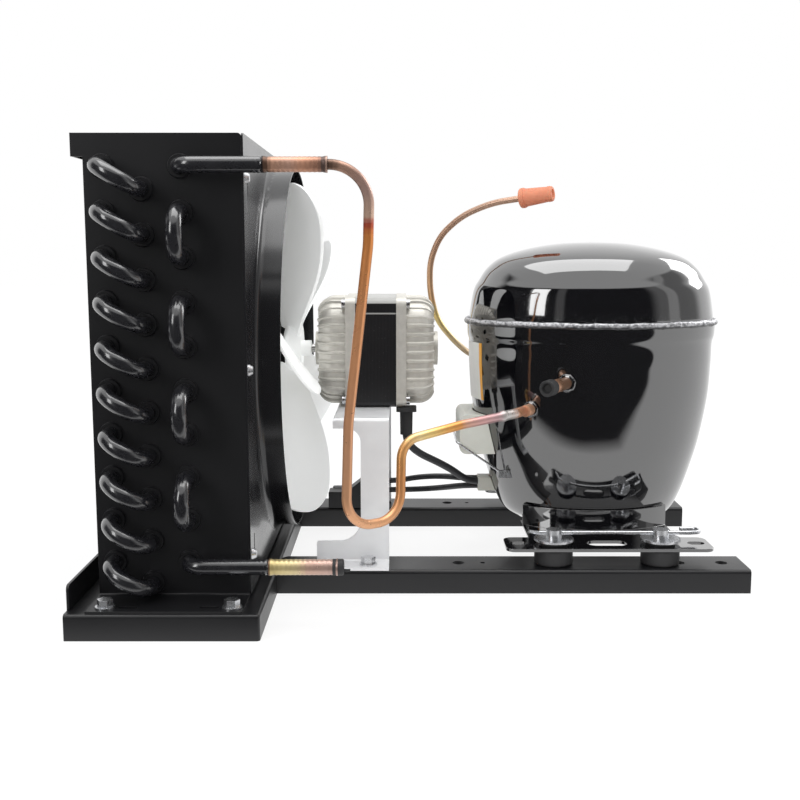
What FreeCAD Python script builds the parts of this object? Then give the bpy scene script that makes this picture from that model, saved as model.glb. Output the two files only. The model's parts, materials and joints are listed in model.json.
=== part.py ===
import FreeCAD, Part
import math
import os

# Refrigeration condensing unit, in millimetres.
# +X runs from the condenser to the compressor, +Y away from the viewer, +Z up from the floor.
# The origin is on the floor, under the middle of the whole unit.

Vec = FreeCAD.Vector

# Base: a folded tray under the condenser and two channel rails
overall_length = 416.0
tray_width = 111.0
tray_depth = 375.8
base_height = 15.3
tray_sheet = 1.5
tray_lip_height = 14.8
tray_lip_gap = 8.0
tray_corner_radius = 3.0
rail_sheet = 2.0
rail_width = 34.8
rail_spacing = 170.0
rail_under_tray = 84.0
rail_joggle = 4.0
rail_notch_clearance = 0.4
rail_bend_radius = 2.6
rivet_radius = 2.4
rivet_head_radius = 4.2
rivet_head_height = 1.4
rivet_inset = 20.0
mount_hole_radius = 3.85
mount_hole_inset = 14.5
mount_hole_spacing = 173.0
spare_hole_offset = 28.0
pilot_hole_radius = 1.6
pilot_hole_offset = 16.0

# Condenser block
row_count = 3
tubes_per_row = 10
tube_diameter = 9.52
tube_pitch = 25.4
row_pitch = 22.0
coil_length = 310.6
first_row_inset = 22.5
lowest_tube_height = 9.1
fin_depth = 64.0
fin_thickness = 0.5
fin_pitch = 4.4
fin_bottom_gap = 3.0
fin_top_margin = 14.0
end_plate_sheet = 1.5
end_plate_top_margin = 18.3
end_plate_margin_left = 10.5
end_plate_foot = 31.0
end_plate_flange = 14.0
end_plate_corner_radius = 2.0
cover_ear_width = 6.8
cover_ear_height = 13.0
plenum_depth = 25.0
collar_width = 1.7
collar_height = 2.4
bend_stub = 9.0
foot_bolt_inset = 9.7
foot_bolt_spacing = 72.5
foot_bolt_forward = 23.6
foot_slot_length = 11.0
foot_slot_width = 3.2
foot_slot_offset = 13.0

# Fan shroud and fan
shroud_sheet = 1.2
shroud_bottom_gap = 1.7
ring_radius = 126.0
ring_projection = 15.8
ring_bend_radius = 6.0
shroud_slot_length = 13.0
shroud_slot_width = 2.4
shroud_slot_inset = 16.0
shroud_slot_margin = 28.0
shroud_screw_radius = 3.6
shroud_screw_height = 2.4
shroud_screw_inset = 7.0
shroud_screw_offset = 110.0
fan_axis_height = 149.4
fan_hub_radius = 16.5
fan_hub_length = 11.5
fan_hub_wall = 2.2
fan_boss_radius = 5.6
fan_boss_length = 18.0
fan_blade_count = 5
fan_blade_thickness = 2.0
fan_blade_sweep = 33.0
fan_blade_set = 14.0
fan_blade_bow = 2.4
fan_tip_clearance = 6.8
fan_plane_gap = 7.5
fan_screw_radius = 4.6
fan_screw_height = 3.4

# Fan motor and its bracket
motor_gap_to_fan = 13.5
motor_size = 76.0
stack_length = 28.0
shield_length = 26.0
shield_flange_length = 7.0
shield_flange_radius = 6.0
shield_inset = 2.0
shield_corner_radius = 20.0
shield_nose_radius = 10.0
rib_count = 8
rib_pitch = 6.1
rib_width = 1.9
rib_height = 2.0
vent_slot_count = 8
vent_slot_width = 4.8
shield_hub_radius = 15.0
shield_hub_length = 3.5
shield_hub_gap = 0.8
shield_wall = 3.0
shaft_radius = 3.0
bearing_radius = 9.5
bearing_length = 7.0
bearing_clearance = 0.03
rotor_radius = 19.0
air_gap = 0.4
winding_radius = 29.5
winding_length = 13.0
through_screw_radius = 2.0
through_screw_head = 3.2
through_screw_inset = 4.8
bracket_sheet = 1.8
bracket_leg_width = 18.5
bracket_foot_width = 47.5
bracket_foot_height = 14.7
bracket_head_width = 36.5
bracket_head_height = 6.7
bracket_leg_radius = 14.0
bracket_neck_radius = 9.0
bracket_bend_radius = 2.8
bracket_foot_depth = 18.2
bracket_right_offset = 4.5
bracket_bolt_inset = 13.5
boot_flange_width = 14.0
boot_flange_height = 3.0
boot_radius = 4.5
boot_length = 19.5

# Junction block on the rear rail
block_length = 46.0
block_width = 16.0
block_step_height = 13.0
block_step_length = 17.0
block_height = 26.0
block_gap_to_leg = 0.4

# Compressor
compressor_inset = 90.0
shell_half_length = 86.0
shell_plan_ratio = 0.79
shell_bottom = 28.6
shell_seam_height = 168.0
shell_top = 225.0
shell_wall = 3.0
shell_lip = 1.022
weld_bead_radius = 2.3
foot_pitch = 70.0
foot_plate_length = 134.5
foot_plate_width = 29.5
foot_plate_sheet = 2.1
foot_tongue_width = 100.0
foot_tongue_reach = 46.0
foot_skirt_half = 68.0
foot_skirt_height = 14.0
foot_skirt_wall = 2.2
grommet_radius = 12.6
grommet_waist_radius = 7.5
grommet_collar_radius = 9.5
grommet_collar_height = 2.2
stud_radius = 4.0
stud_head_radius = 5.2
stud_clearance = 0.3
washer_radius = 13.0
washer_thickness = 1.4
stud_top_height = 38.0
clip_wire = 2.6
clip_height = 35.6

# Refrigerant lines
line_diameter = 6.35
connector_diameter = 8.0
connector_length = 36.0
braze_length = 4.0
header_forward = 12.0
pipe_end_x = -93.8
cap_diameter = 9.6
cap_length = 6.5
cap_reach = 3.0
stalk_length = 3.6
stub_wall = 0.9
suction_stub_diameter = 8.0
suction_stub_length = 27.0
suction_plug_diameter = 10.6
suction_plug_length = 9.0
suction_plug_insert = 7.0
discharge_stub_length = 11.0
discharge_ring_radius = 5.2
process_diameter = 4.76
process_plug_length = 24.0
process_plug_radius = 7.2
process_plug_insert = 8.0
plug_clearance = 0.05
stub_root = 1.5
suction_angle = -107.0
suction_height = 132.0
discharge_angle = -124.5
discharge_height = 113.0
suction_heading = -120.0
process_angle = 150.0
process_height = 140.0

# Electrical cover, leads and small parts on the compressor
cover_depth = 15.5
cover_width = 56.0
cover_height = 28.0
cover_bottom = 77.0
cover_wall = 1.8
cover_corner_radius = 5.0
bail_wire = 1.6
bail_gap = 1.3
bail_pin_length = 5.0
eyelet_width = 2.6
eyelet_half = 2.6
eyelet_clearance = 0.05
bail_pivot_height = 64.0
bail_rise = 22.0
lead_diameter = 4.4
motor_lead_diameter = 5.2
lead_clip_length = 8.0
lead_clip_width = 14.0
lead_clip_height = 10.0
lead_clip_bottom = 46.0
shell_clearance = 0.2

# Places worked out from the sizes above
tray_left = -overall_length / 2
tray_right = tray_left + tray_width
rail_end = overall_length / 2
tray_front = -tray_depth / 2
rail_y = rail_spacing / 2
coil_half = coil_length / 2
first_row_x = tray_left + first_row_inset
low_tube_z = base_height + lowest_tube_height
top_tube_z = low_tube_z + tube_pitch / 2 + (tubes_per_row - 1) * tube_pitch
bottom_tube_z = low_tube_z + tube_pitch / 2
plate_left = first_row_x - end_plate_margin_left
plate_top = top_tube_z + end_plate_top_margin
fin_left = plate_left
fin_right = fin_left + fin_depth
plate_right = fin_right + plenum_depth
shroud_face = plate_right + shroud_sheet
ring_end = shroud_face + ring_projection
hub_front = plate_right + fan_plane_gap
hub_end = hub_front + fan_hub_length
blade_middle = hub_front + fan_blade_set
fan_radius = ring_radius - shroud_sheet - fan_tip_clearance
motor_left = hub_end + motor_gap_to_fan
stack_left = motor_left + shield_length
stack_right = stack_left + stack_length
motor_right = stack_right + shield_length
motor_half = motor_size / 2
motor_bottom = fan_axis_height - motor_half
compressor_x = rail_end - compressor_inset
grommet_top = shell_bottom - foot_plate_sheet
bracket_right = stack_right - bracket_right_offset
header_y = -coil_half - header_forward


def box(x0, x1, y0, y1, z0, z1):
    """A box between two corners."""
    return Part.makeBox(x1 - x0, y1 - y0, z1 - z0, Vec(x0, y0, z0))


def rod(start, end, radius):
    """A round bar from one point to another."""
    axis = end.sub(start)
    return Part.makeCylinder(radius, axis.Length, start, axis)


def join(shapes):
    """One solid out of touching ones."""
    return shapes[0].multiFuse(shapes[1:]).removeSplitter()


def group(shapes):
    """Separate solids in one node."""
    return Part.makeCompound(shapes)


def mirrored(shape):
    """The same piece on the other side of the unit."""
    return shape.mirror(Vec(0, 0, 0), Vec(0, 1, 0))


def rounded_wire(points, radii):
    """A closed outline of straight lines whose corners are tangent arcs."""
    count = len(points)
    edges = []
    starts = []
    ends = []
    for index in range(count):
        corner = points[index]
        back = points[index - 1].sub(corner).normalize()
        ahead = points[(index + 1) % count].sub(corner).normalize()
        radius = radii[index]
        if radius == 0:
            starts.append(corner)
            ends.append(corner)
            edges.append(None)
            continue
        half = back.getAngle(ahead) / 2
        setback = radius / math.tan(half)
        start = corner + back * setback
        end = corner + ahead * setback
        inward = (back + ahead).normalize()
        middle = corner + inward * (radius / math.sin(half) - radius)
        starts.append(start)
        ends.append(end)
        edges.append(Part.Arc(start, middle, end).toShape())
    wire_edges = []
    for index in range(count):
        if edges[index] is not None:
            wire_edges.append(edges[index])
        following = (index + 1) % count
        if ends[index].distanceToPoint(starts[following]) > 1e-6:
            wire_edges.append(Part.LineSegment(ends[index], starts[following]).toShape())
    return Part.Wire(wire_edges)


def plate_xz(corners, radii, y0, y1):
    """A plate whose outline lies in the X-Z plane."""
    points = [Vec(x, y0, z) for x, z in corners]
    return Part.Face(rounded_wire(points, radii)).extrude(Vec(0, y1 - y0, 0))


def plate_yz(corners, radii, x0, x1):
    """A plate whose outline lies in the Y-Z plane."""
    points = [Vec(x0, y, z) for y, z in corners]
    return Part.Face(rounded_wire(points, radii)).extrude(Vec(x1 - x0, 0, 0))


def plate_xy(corners, radii, z0, z1):
    """A plate whose outline lies in the X-Y plane."""
    points = [Vec(x, y, z0) for x, y in corners]
    return Part.Face(rounded_wire(points, radii)).extrude(Vec(0, 0, z1 - z0))


def slot_xy(x, y, length, width, z0, z1):
    """A long hole through a level sheet, along X."""
    half_run = (length - width) / 2
    ends = [Part.makeCylinder(width / 2, z1 - z0, Vec(x + side * half_run, y, z0)) for side in (-1, 1)]
    middle = box(x - half_run, x + half_run, y - width / 2, y + width / 2, z0, z1)
    return ends[0].multiFuse([middle, ends[1]])


def route_wire(points, radii):
    """A path of straight runs joined by tangent arcs."""
    edges = []
    place = points[0]
    for index in range(1, len(points) - 1):
        corner = points[index]
        back = points[index - 1].sub(corner).normalize()
        ahead = points[index + 1].sub(corner).normalize()
        half = back.getAngle(ahead) / 2
        radius = radii[index - 1]
        setback = radius / math.tan(half)
        start = corner + back * setback
        end = corner + ahead * setback
        inward = (back + ahead).normalize()
        middle = corner + inward * (radius / math.sin(half) - radius)
        edges.append(Part.LineSegment(place, start).toShape())
        edges.append(Part.Arc(start, middle, end).toShape())
        place = end
    edges.append(Part.LineSegment(place, points[-1]).toShape())
    return Part.Wire(edges)


def bent_tube(points, radii, diameter):
    """A round tube along a bent route."""
    path = route_wire(points, radii)
    direction = points[1].sub(points[0])
    section = Part.Wire(Part.makeCircle(diameter / 2, points[0], direction))
    return path.makePipeShell([section], True, False)


def largest_radii(points):
    """The bend radius at each inner point of a cord: as large as its two runs allow."""
    radii = []
    for index in range(1, len(points) - 1):
        back = points[index - 1].sub(points[index])
        ahead = points[index + 1].sub(points[index])
        turn = math.pi - back.getAngle(ahead)
        back_run = back.Length if index > 1 else 2 * back.Length
        ahead_run = ahead.Length if index < len(points) - 2 else 2 * ahead.Length
        radii.append(0.45 * min(back_run, ahead_run) / math.tan(turn / 2))
    return radii


def cord(name, points, diameter):
    """A lead along hand-laid points, with its bend radii and volume printed."""
    radii = largest_radii(points)
    shape = bent_tube(points, radii, diameter)
    expected = route_wire(points, radii).Length * math.pi * diameter ** 2 / 4
    print(name, "bend radii", [round(radius, 1) for radius in radii])
    print(name, "volume ratio", round(shape.Volume / expected, 4))
    return shape


def write(name, shape):
    """One file for each piece."""
    shape.exportStep("parts/" + name + ".step")


def hex_bolt(x, y, z, shank_radius, shank_length, across_flats, head_height):
    """An upright hex bolt with a washer face, its head's underside at z."""
    corner_radius = across_flats / math.sqrt(3)
    corners = [(x + corner_radius * math.cos(math.radians(60 * step)),
                y + corner_radius * math.sin(math.radians(60 * step))) for step in range(6)]
    head = plate_xy(corners, [0] * 6, z + 1.0, z + head_height)
    washer = Part.makeCylinder(across_flats * 0.72, 1.0, Vec(x, y, z))
    shank = Part.makeCylinder(shank_radius, shank_length, Vec(x, y, z - shank_length))
    return join([head, washer, shank])


# Places that several pieces share
foot_bolt_x = [plate_left + foot_bolt_inset, plate_left + foot_bolt_inset + foot_bolt_spacing]
foot_bolt_y = coil_half + foot_bolt_forward
foot_bolt_shank = 2.6
rail_bolt_shank = 2.6
bolt_clearance = 0.25
rivet_x = [tray_left + 40.0, tray_right - rivet_inset]
mount_hole_x = [rail_end - mount_hole_inset - mount_hole_spacing, rail_end - mount_hole_inset]
foot_x = [compressor_x - foot_pitch / 2, compressor_x + foot_pitch / 2]
bracket_bolt_x = bracket_right - bracket_bolt_inset
bracket_bolt_y = rail_y + 9.2
row_x = [first_row_x + row * row_pitch for row in range(row_count)]


def tube_z(row, index):
    """Height of one tube, counted from the top; the middle row sits half a pitch lower."""
    drop = tube_pitch / 2 if row == 1 else 0.0
    return top_tube_z - index * tube_pitch - drop


def condenser_tray():
    """Folded pan: three edges turned down, the left one turned up as a lip."""
    outer = box(tray_left, tray_right, tray_front, -tray_front, 0, base_height)
    rounded_edges = []
    for edge in outer.Edges:
        middle = edge.CenterOfMass
        on_top = abs(middle.z - base_height) < 1e-6 and middle.x > tray_left + 1
        on_corner = abs(middle.x - tray_right) < 1e-6 and abs(middle.z - base_height / 2) < 1e-6
        if on_top or on_corner:
            rounded_edges.append(edge)
    outer = outer.makeFillet(tray_sheet + 0.6, rounded_edges)
    hollow = box(tray_left - 1, tray_right - tray_sheet, tray_front + tray_sheet, -tray_front - tray_sheet,
                 -1, base_height - tray_sheet)
    lip_corners = [(tray_front + tray_lip_gap, base_height - tray_sheet),
                   (-tray_front - tray_lip_gap, base_height - tray_sheet),
                   (-tray_front - tray_lip_gap, base_height + tray_lip_height),
                   (tray_front + tray_lip_gap, base_height + tray_lip_height)]
    lip = plate_yz(lip_corners, [0, 0, tray_corner_radius, tray_corner_radius],
                   tray_left, tray_left + tray_sheet)
    tray = join([outer.cut(hollow), lip])
    cuts = []
    half_notch = rail_width / 2 + rail_notch_clearance
    for side in (-1, 1):
        cuts.append(box(tray_right - tray_sheet - 3, tray_right + 1, side * rail_y - half_notch,
                        side * rail_y + half_notch, -1, base_height - tray_sheet))
        for x in rivet_x:
            cuts.append(Part.makeCylinder(rivet_radius, tray_sheet + 2,
                                          Vec(x, side * rail_y, base_height - tray_sheet - 1)))
        for x in foot_bolt_x:
            cuts.append(Part.makeCylinder(foot_bolt_shank + bolt_clearance, tray_sheet + 2,
                                          Vec(x, side * foot_bolt_y, base_height - tray_sheet - 1)))
    return tray.cut(group(cuts))


def rail_profile(offset):
    """Side view of a rail, offset inward by the sheet; its left end steps down under the tray."""
    left = tray_right - rail_under_tray
    low = base_height - tray_sheet
    step_start = tray_right + rail_notch_clearance
    step_end = step_start + rail_joggle
    return [(left - offset, -offset), (rail_end + offset, -offset), (rail_end + offset, base_height - offset),
            (step_end, base_height - offset), (step_start, low - offset), (left - offset, low - offset)]


def front_rail():
    """Upside-down channel with fixing holes in its top."""
    half = rail_width / 2
    inner_half = half - rail_sheet
    outer_section = plate_yz([(-rail_y - half, 0), (-rail_y + half, 0), (-rail_y + half, base_height),
                              (-rail_y - half, base_height)], [0, 0, rail_bend_radius, rail_bend_radius],
                             tray_left, rail_end)
    side_view = plate_xz(rail_profile(0), [0, 0, 0, 2, 2, 0], -rail_y - half, -rail_y + half)
    hollow_view = plate_xz(rail_profile(rail_sheet), [0, 0, 0, 2, 2, 0],
                           -rail_y - inner_half, -rail_y + inner_half)
    rail = outer_section.common(side_view).cut(hollow_view)
    cuts = []
    top = base_height - rail_sheet - 3
    for x in mount_hole_x + [mount_hole_x[1] - spare_hole_offset]:
        cuts.append(Part.makeCylinder(mount_hole_radius, rail_sheet + 4, Vec(x, -rail_y, top)))
    for x in foot_x:
        cuts.append(Part.makeCylinder(stud_radius + stud_clearance, rail_sheet + 4, Vec(x, -rail_y, top)))
    for x in rivet_x:
        cuts.append(Part.makeCylinder(rivet_radius, rail_sheet + 4, Vec(x, -rail_y, top - 1)))
    cuts.append(Part.makeCylinder(pilot_hole_radius, rail_sheet + 4,
                                  Vec(mount_hole_x[0] + pilot_hole_offset, -rail_y, top)))
    cuts.append(Part.makeCylinder(rail_bolt_shank + bolt_clearance, rail_sheet + 4,
                                  Vec(bracket_bolt_x, -bracket_bolt_y, top)))
    return rail.cut(group(cuts))


def rail_rivets():
    """Round-headed rivets that hold the rails up against the tray."""
    rivets = []
    bottom = base_height - tray_sheet - rail_sheet
    for side in (-1, 1):
        for x in rivet_x:
            shank = Part.makeCylinder(rivet_radius, tray_sheet + rail_sheet, Vec(x, side * rail_y, bottom))
            head = Part.makeCone(rivet_head_radius, rivet_radius, rivet_head_height,
                                 Vec(x, side * rail_y, base_height))
            tail = Part.makeCone(rivet_radius, rivet_head_radius, rivet_head_height,
                                 Vec(x, side * rail_y, bottom - rivet_head_height))
            rivets.append(join([shank, head, tail]))
    return group(rivets)


def front_end_plate():
    """Tube sheet with a foot bent forward, flanges bent back and a collar round each tube."""
    outer = -coil_half
    inner = -coil_half + end_plate_sheet
    foot_tip = outer - end_plate_foot
    foot_top = base_height + end_plate_sheet
    angle = plate_yz([(foot_tip, base_height), (inner, base_height), (inner, plate_top), (outer, plate_top),
                      (outer, foot_top), (foot_tip, foot_top)],
                     [0, end_plate_sheet + 1.2, 0, 0, 1.2, 0], plate_left, plate_right)
    wall_outline = plate_xz([(plate_left, base_height), (plate_right, base_height), (plate_right, plate_top),
                             (plate_left, plate_top)], [0, 0, end_plate_corner_radius, 0],
                            foot_tip - 1, inner + 1)
    wall = angle.common(wall_outline)
    side_flange = box(plate_right - end_plate_sheet, plate_right, outer + end_plate_corner_radius,
                      outer + end_plate_flange, foot_top + 3, plate_top - end_plate_sheet - tray_sheet)
    side_root = box(plate_right - end_plate_sheet, plate_right, outer + 0.4, outer + end_plate_corner_radius,
                    foot_top + 3, plate_top - end_plate_sheet - tray_sheet)
    top_flange = box(plate_left, plate_right - end_plate_corner_radius, outer, outer + end_plate_flange,
                     plate_top - end_plate_sheet, plate_top)
    ear = box(plate_left - cover_ear_width, plate_left, outer, inner,
              plate_top - cover_ear_height, plate_top)
    solids = [wall, side_flange, side_root, top_flange, ear]
    for row in range(row_count):
        for index in range(tubes_per_row):
            solids.append(Part.makeCone(tube_diameter / 2 + collar_width + 0.6, tube_diameter / 2 + collar_width,
                                        collar_height, Vec(row_x[row], outer, tube_z(row, index)),
                                        Vec(0, -1, 0)))
    plate = join(solids)
    cuts = []
    for x in foot_bolt_x:
        cuts.append(Part.makeCylinder(foot_bolt_shank + bolt_clearance, 6, Vec(x, -foot_bolt_y, base_height - 2)))
    for x in (foot_bolt_x[0] + foot_slot_offset, foot_bolt_x[1] - foot_slot_offset):
        cuts.append(slot_xy(x, -foot_bolt_y, foot_slot_length, foot_slot_width,
                            base_height - 2, base_height + 4))
    return plate.cut(group(cuts))


def coil_top_cover():
    """Sheet over the fins and the air space, turned down along both sides."""
    left = plate_left - cover_ear_width
    y = coil_half - end_plate_sheet
    under = plate_top - end_plate_sheet
    top = box(left, plate_right, -y, y, under - tray_sheet, under)
    left_lip = box(left, left + tray_sheet, -y, y, plate_top - cover_ear_height, under)
    right_lip = box(plate_right - tray_sheet, plate_right, -coil_half + end_plate_flange,
                    coil_half - end_plate_flange, plate_top - cover_ear_height, under)
    return join([top, left_lip, right_lip])


def fin_pack():
    """Thin plates across all the tubes, evenly spaced between the end plates."""
    clear = coil_half - end_plate_sheet - 1.0
    count = int(2 * clear / fin_pitch) + 1
    start = -(count - 1) * fin_pitch / 2
    top = plate_top - fin_top_margin
    return group([box(fin_left, fin_right, start + step * fin_pitch - fin_thickness / 2,
                      start + step * fin_pitch + fin_thickness / 2, base_height + fin_bottom_gap, top)
                  for step in range(count)])


def u_tube(start, across, leg, outward):
    """Half a ring between two tube ends that lie `across` apart, on straight legs."""
    radius = across.Length / 2
    along = Vec(0, outward, 0)
    centre = start + across * 0.5
    base = start + along * leg
    far = base + across
    crown = centre + along * (leg + radius)
    edges = [Part.LineSegment(start, base).toShape(), Part.Arc(base, crown, far).toShape(),
             Part.LineSegment(far, far - along * leg).toShape()]
    section = Part.Wire(Part.makeCircle(tube_diameter / 2, start, along))
    return Part.Wire(edges).makePipeShell([section], True, False)


def slanted_return_bends():
    """Bends that join each tube of row one to the lower one in row two."""
    front = -coil_half - collar_height
    across = Vec(row_pitch, 0, -tube_pitch / 2)
    return [u_tube(Vec(row_x[0], front, tube_z(0, index)), across, bend_stub - collar_height, -1)
            for index in range(tubes_per_row)]


def upright_return_bends():
    """Bends that join pairs of tubes in row three, between the inlet and the outlet."""
    front = -coil_half - collar_height
    across = Vec(0, 0, -tube_pitch)
    return [u_tube(Vec(row_x[2], front, tube_z(2, index)), across, bend_stub - collar_height, -1)
            for index in range(1, tubes_per_row - 1, 2)]


def hairpin_tubes():
    """Straight tubes through the coil with their rear bends, in the order of one single circuit."""
    leg = coil_length + 2 * collar_height + bend_stub
    front = -coil_half - collar_height
    pins = []
    for index in range(0, tubes_per_row, 2):
        pins.append(u_tube(Vec(row_x[0], front, tube_z(0, index)), Vec(0, 0, -tube_pitch), leg, 1))
    for index in range(tubes_per_row):
        pins.append(u_tube(Vec(row_x[2], front, tube_z(2, index)),
                           Vec(-row_pitch, 0, -tube_pitch / 2), leg, 1))
    return group(pins)


def header_pipe(z):
    """A pipe out of row three that turns right along the front of the end plate."""
    points = [Vec(row_x[2], -coil_half - collar_height, z), Vec(row_x[2], header_y, z), Vec(pipe_end_x, header_y, z)]
    radius = header_forward - collar_height - 0.4
    return bent_tube(points, [radius], tube_diameter)


def inlet_connector():
    """Copper reducer between the black inlet pipe and the thinner discharge line."""
    start = Vec(pipe_end_x, header_y, top_tube_z)
    right = Vec(1, 0, 0)
    fillet = Part.makeCone(tube_diameter / 2, connector_diameter / 2, braze_length, start, right)
    body = Part.makeCylinder(connector_diameter / 2, connector_length - 2 * braze_length,
                             start + right * braze_length, right)
    nose = Part.makeCone(connector_diameter / 2, line_diameter / 2 + 0.3, braze_length,
                         start + right * (connector_length - braze_length), right)
    return join([fillet, body, nose])


def outlet_connector():
    """Copper tail on the outlet pipe, with an open bore that the cap closes."""
    start = Vec(pipe_end_x, header_y, bottom_tube_z)
    right = Vec(1, 0, 0)
    fillet = Part.makeCone(tube_diameter / 2 + 0.3, connector_diameter / 2, braze_length, start, right)
    body = Part.makeCylinder(connector_diameter / 2, connector_length, start + right * braze_length, right)
    bore = Part.makeCylinder(connector_diameter / 2 - stub_wall, connector_length,
                             start + right * (2 * braze_length), right)
    return join([fillet, body]).cut(bore)


def outlet_cap():
    """Rubber cap over the outlet tail, with a thin moulding stalk."""
    end = Vec(pipe_end_x + braze_length + connector_length, header_y, bottom_tube_z)
    right = Vec(1, 0, 0)
    back = end - right * cap_reach
    body = Part.makeCylinder(cap_diameter / 2, cap_length, back, right)
    body = body.makeFillet(1.2, [edge for edge in body.Edges if abs(edge.CenterOfMass.x - back.x - cap_length) < 1e-6])
    seat = Part.makeCylinder(connector_diameter / 2 + plug_clearance, cap_reach, back, right)
    stalk = Part.makeCylinder(0.9, stalk_length + 1, back + right * (cap_length - 1) - Vec(0, 0, 2.0), right)
    return join([body.cut(seat), stalk])


def fan_shroud():
    """Sheet wall with a drawn ring around the fan."""
    half = coil_half
    wall = plate_yz([(-half, base_height + shroud_bottom_gap), (half, base_height + shroud_bottom_gap),
                     (half, plate_top), (-half, plate_top)], [0, 0, 2, 2], plate_right, shroud_face)
    centre = Vec(0, 0, fan_axis_height)
    root = ring_radius + ring_bend_radius
    wall = wall.cut(Part.makeCylinder(root, 10, Vec(plate_right - 5, 0, fan_axis_height), Vec(1, 0, 0)))
    inside = ring_radius - shroud_sheet
    section = [Vec(plate_right, 0, fan_axis_height + root), Vec(plate_right, 0, fan_axis_height + inside),
               Vec(ring_end, 0, fan_axis_height + inside), Vec(ring_end, 0, fan_axis_height + ring_radius),
               Vec(shroud_face, 0, fan_axis_height + ring_radius), Vec(shroud_face, 0, fan_axis_height + root)]
    radii = [0, ring_bend_radius, 0, 0, ring_bend_radius - shroud_sheet, 0]
    ring = Part.Face(rounded_wire(section, radii)).revolve(centre, Vec(1, 0, 0), 360)
    shroud = join([wall, ring])
    cuts = []
    for side in (-1, 1):
        for z in (base_height + shroud_slot_margin, plate_top - shroud_slot_margin):
            y = side * (half - shroud_slot_inset)
            cuts.append(box(plate_right - 1, shroud_face + 1, y - shroud_slot_width / 2,
                            y + shroud_slot_width / 2, z - shroud_slot_length / 2, z + shroud_slot_length / 2))
    return shroud.cut(group(cuts))


def shroud_screws():
    """Pan-head screws through the shroud into the end plates' flanges."""
    screws = []
    for side in (-1, 1):
        for offset in (-shroud_screw_offset, 0, shroud_screw_offset):
            place = Vec(shroud_face, side * (coil_half - shroud_screw_inset), (base_height + plate_top) / 2 + offset)
            head = Part.makeCone(shroud_screw_radius, shroud_screw_radius * 0.6, shroud_screw_height,
                                 place, Vec(1, 0, 0))
            screws.append(head)
    return group(screws)


def blade_outline():
    """Front view of one blade, pointing along +Y: a paddle that widens outwards and has a round tip."""
    side = [(0.11, 0.088), (0.30, 0.130), (0.51, 0.178), (0.74, 0.212), (0.89, 0.200), (0.975, 0.122)]
    points = [Vec(0, fan_radius * out, fan_radius * across) for out, across in side]
    points.append(Vec(0, fan_radius, 0))
    points = points + [Vec(0, fan_radius * out, -fan_radius * across) for out, across in reversed(side)]
    wire = Part.Wire([curve_through(points).toShape(), Part.LineSegment(points[-1], points[0]).toShape()])
    depth = 3.0 * fan_hub_length
    return Part.Face(wire).extrude(Vec(2 * depth, 0, 0)).translated(Vec(blade_middle - depth, 0, 0))


def blade_surface():
    """A twisted, slightly dished sheet along +Y that leans back from the hub towards the motor."""
    hub_middle = hub_front + fan_hub_length / 2
    stations = [(0.06, hub_middle, 0.60), (0.30, hub_middle + 2.2, 0.74), (0.51, blade_middle - 2.0, 0.74),
                (0.74, blade_middle, 0.66), (1.03, blade_middle, 0.60)]
    run = fan_radius * 0.25
    half = fan_blade_thickness / 2
    sections = []
    for out, middle, slope in stations:
        radius = fan_radius * out
        front = [Vec(middle - run * slope - half, radius, -run), Vec(middle - fan_blade_bow - half, radius, 0),
                 Vec(middle + run * slope - half, radius, run)]
        back = [point + Vec(2 * half, 0, 0) for point in reversed(front)]
        sections.append(Part.Wire([curve_through(front).toShape(), Part.LineSegment(front[2], back[0]).toShape(),
                                   curve_through(back).toShape(), Part.LineSegment(back[2], front[0]).toShape()]))
    return Part.makeLoft(sections, True, False)


def fan_impeller():
    """Moulded fan: a cup hub with a boss for the shaft, and broad blades."""
    axis = Vec(1, 0, 0)
    hub_base = Vec(hub_front, 0, 0)
    cup = Part.makeCylinder(fan_hub_radius, fan_hub_length, hub_base, axis)
    cup = cup.makeFillet(2.5, [edge for edge in cup.Edges if abs(edge.CenterOfMass.x - hub_front) < 1e-6])
    recess = Part.makeCylinder(fan_hub_radius - fan_hub_wall, fan_hub_length - fan_hub_wall,
                               hub_base + axis * fan_hub_wall, axis)
    boss = Part.makeCylinder(fan_boss_radius, fan_boss_length, hub_base, axis)
    blade = blade_surface().common(blade_outline())
    outside_hub = Part.makeCylinder(fan_hub_radius - fan_hub_wall, 6 * fan_hub_length,
                                    hub_base - axis * (3 * fan_hub_length), axis)
    blade = blade.cut(outside_hub)
    solids = [cup.cut(recess), boss]
    for step in range(fan_blade_count):
        turn = fan_blade_sweep + 360.0 / fan_blade_count * step
        solids.append(blade.rotated(Vec(0, 0, 0), axis, turn))
    fan = join(solids)
    bore = Part.makeCylinder(shaft_radius, 2 * fan_boss_length, hub_base - axis, axis)
    return fan.cut(bore).translated(Vec(0, 0, fan_axis_height))


def fan_screw():
    """Nut on the end of the shaft, in front of the hub."""
    corners = [(fan_screw_radius * math.cos(math.radians(60 * step)),
                fan_axis_height + fan_screw_radius * math.sin(math.radians(60 * step))) for step in range(6)]
    nut = plate_yz(corners, [0] * 6, hub_front - fan_screw_height, hub_front)
    bore = Part.makeCylinder(shaft_radius, 30, Vec(hub_front - 15, 0, fan_axis_height), Vec(1, 0, 0))
    return nut.cut(bore)


def fan_shaft():
    """Shaft from the fan nut to the rear bearing."""
    start = Vec(hub_front - fan_screw_height - 1.0, 0, fan_axis_height)
    end = Vec(motor_right - shield_wall - 0.5, 0, fan_axis_height)
    return rod(start, end, shaft_radius)


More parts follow.
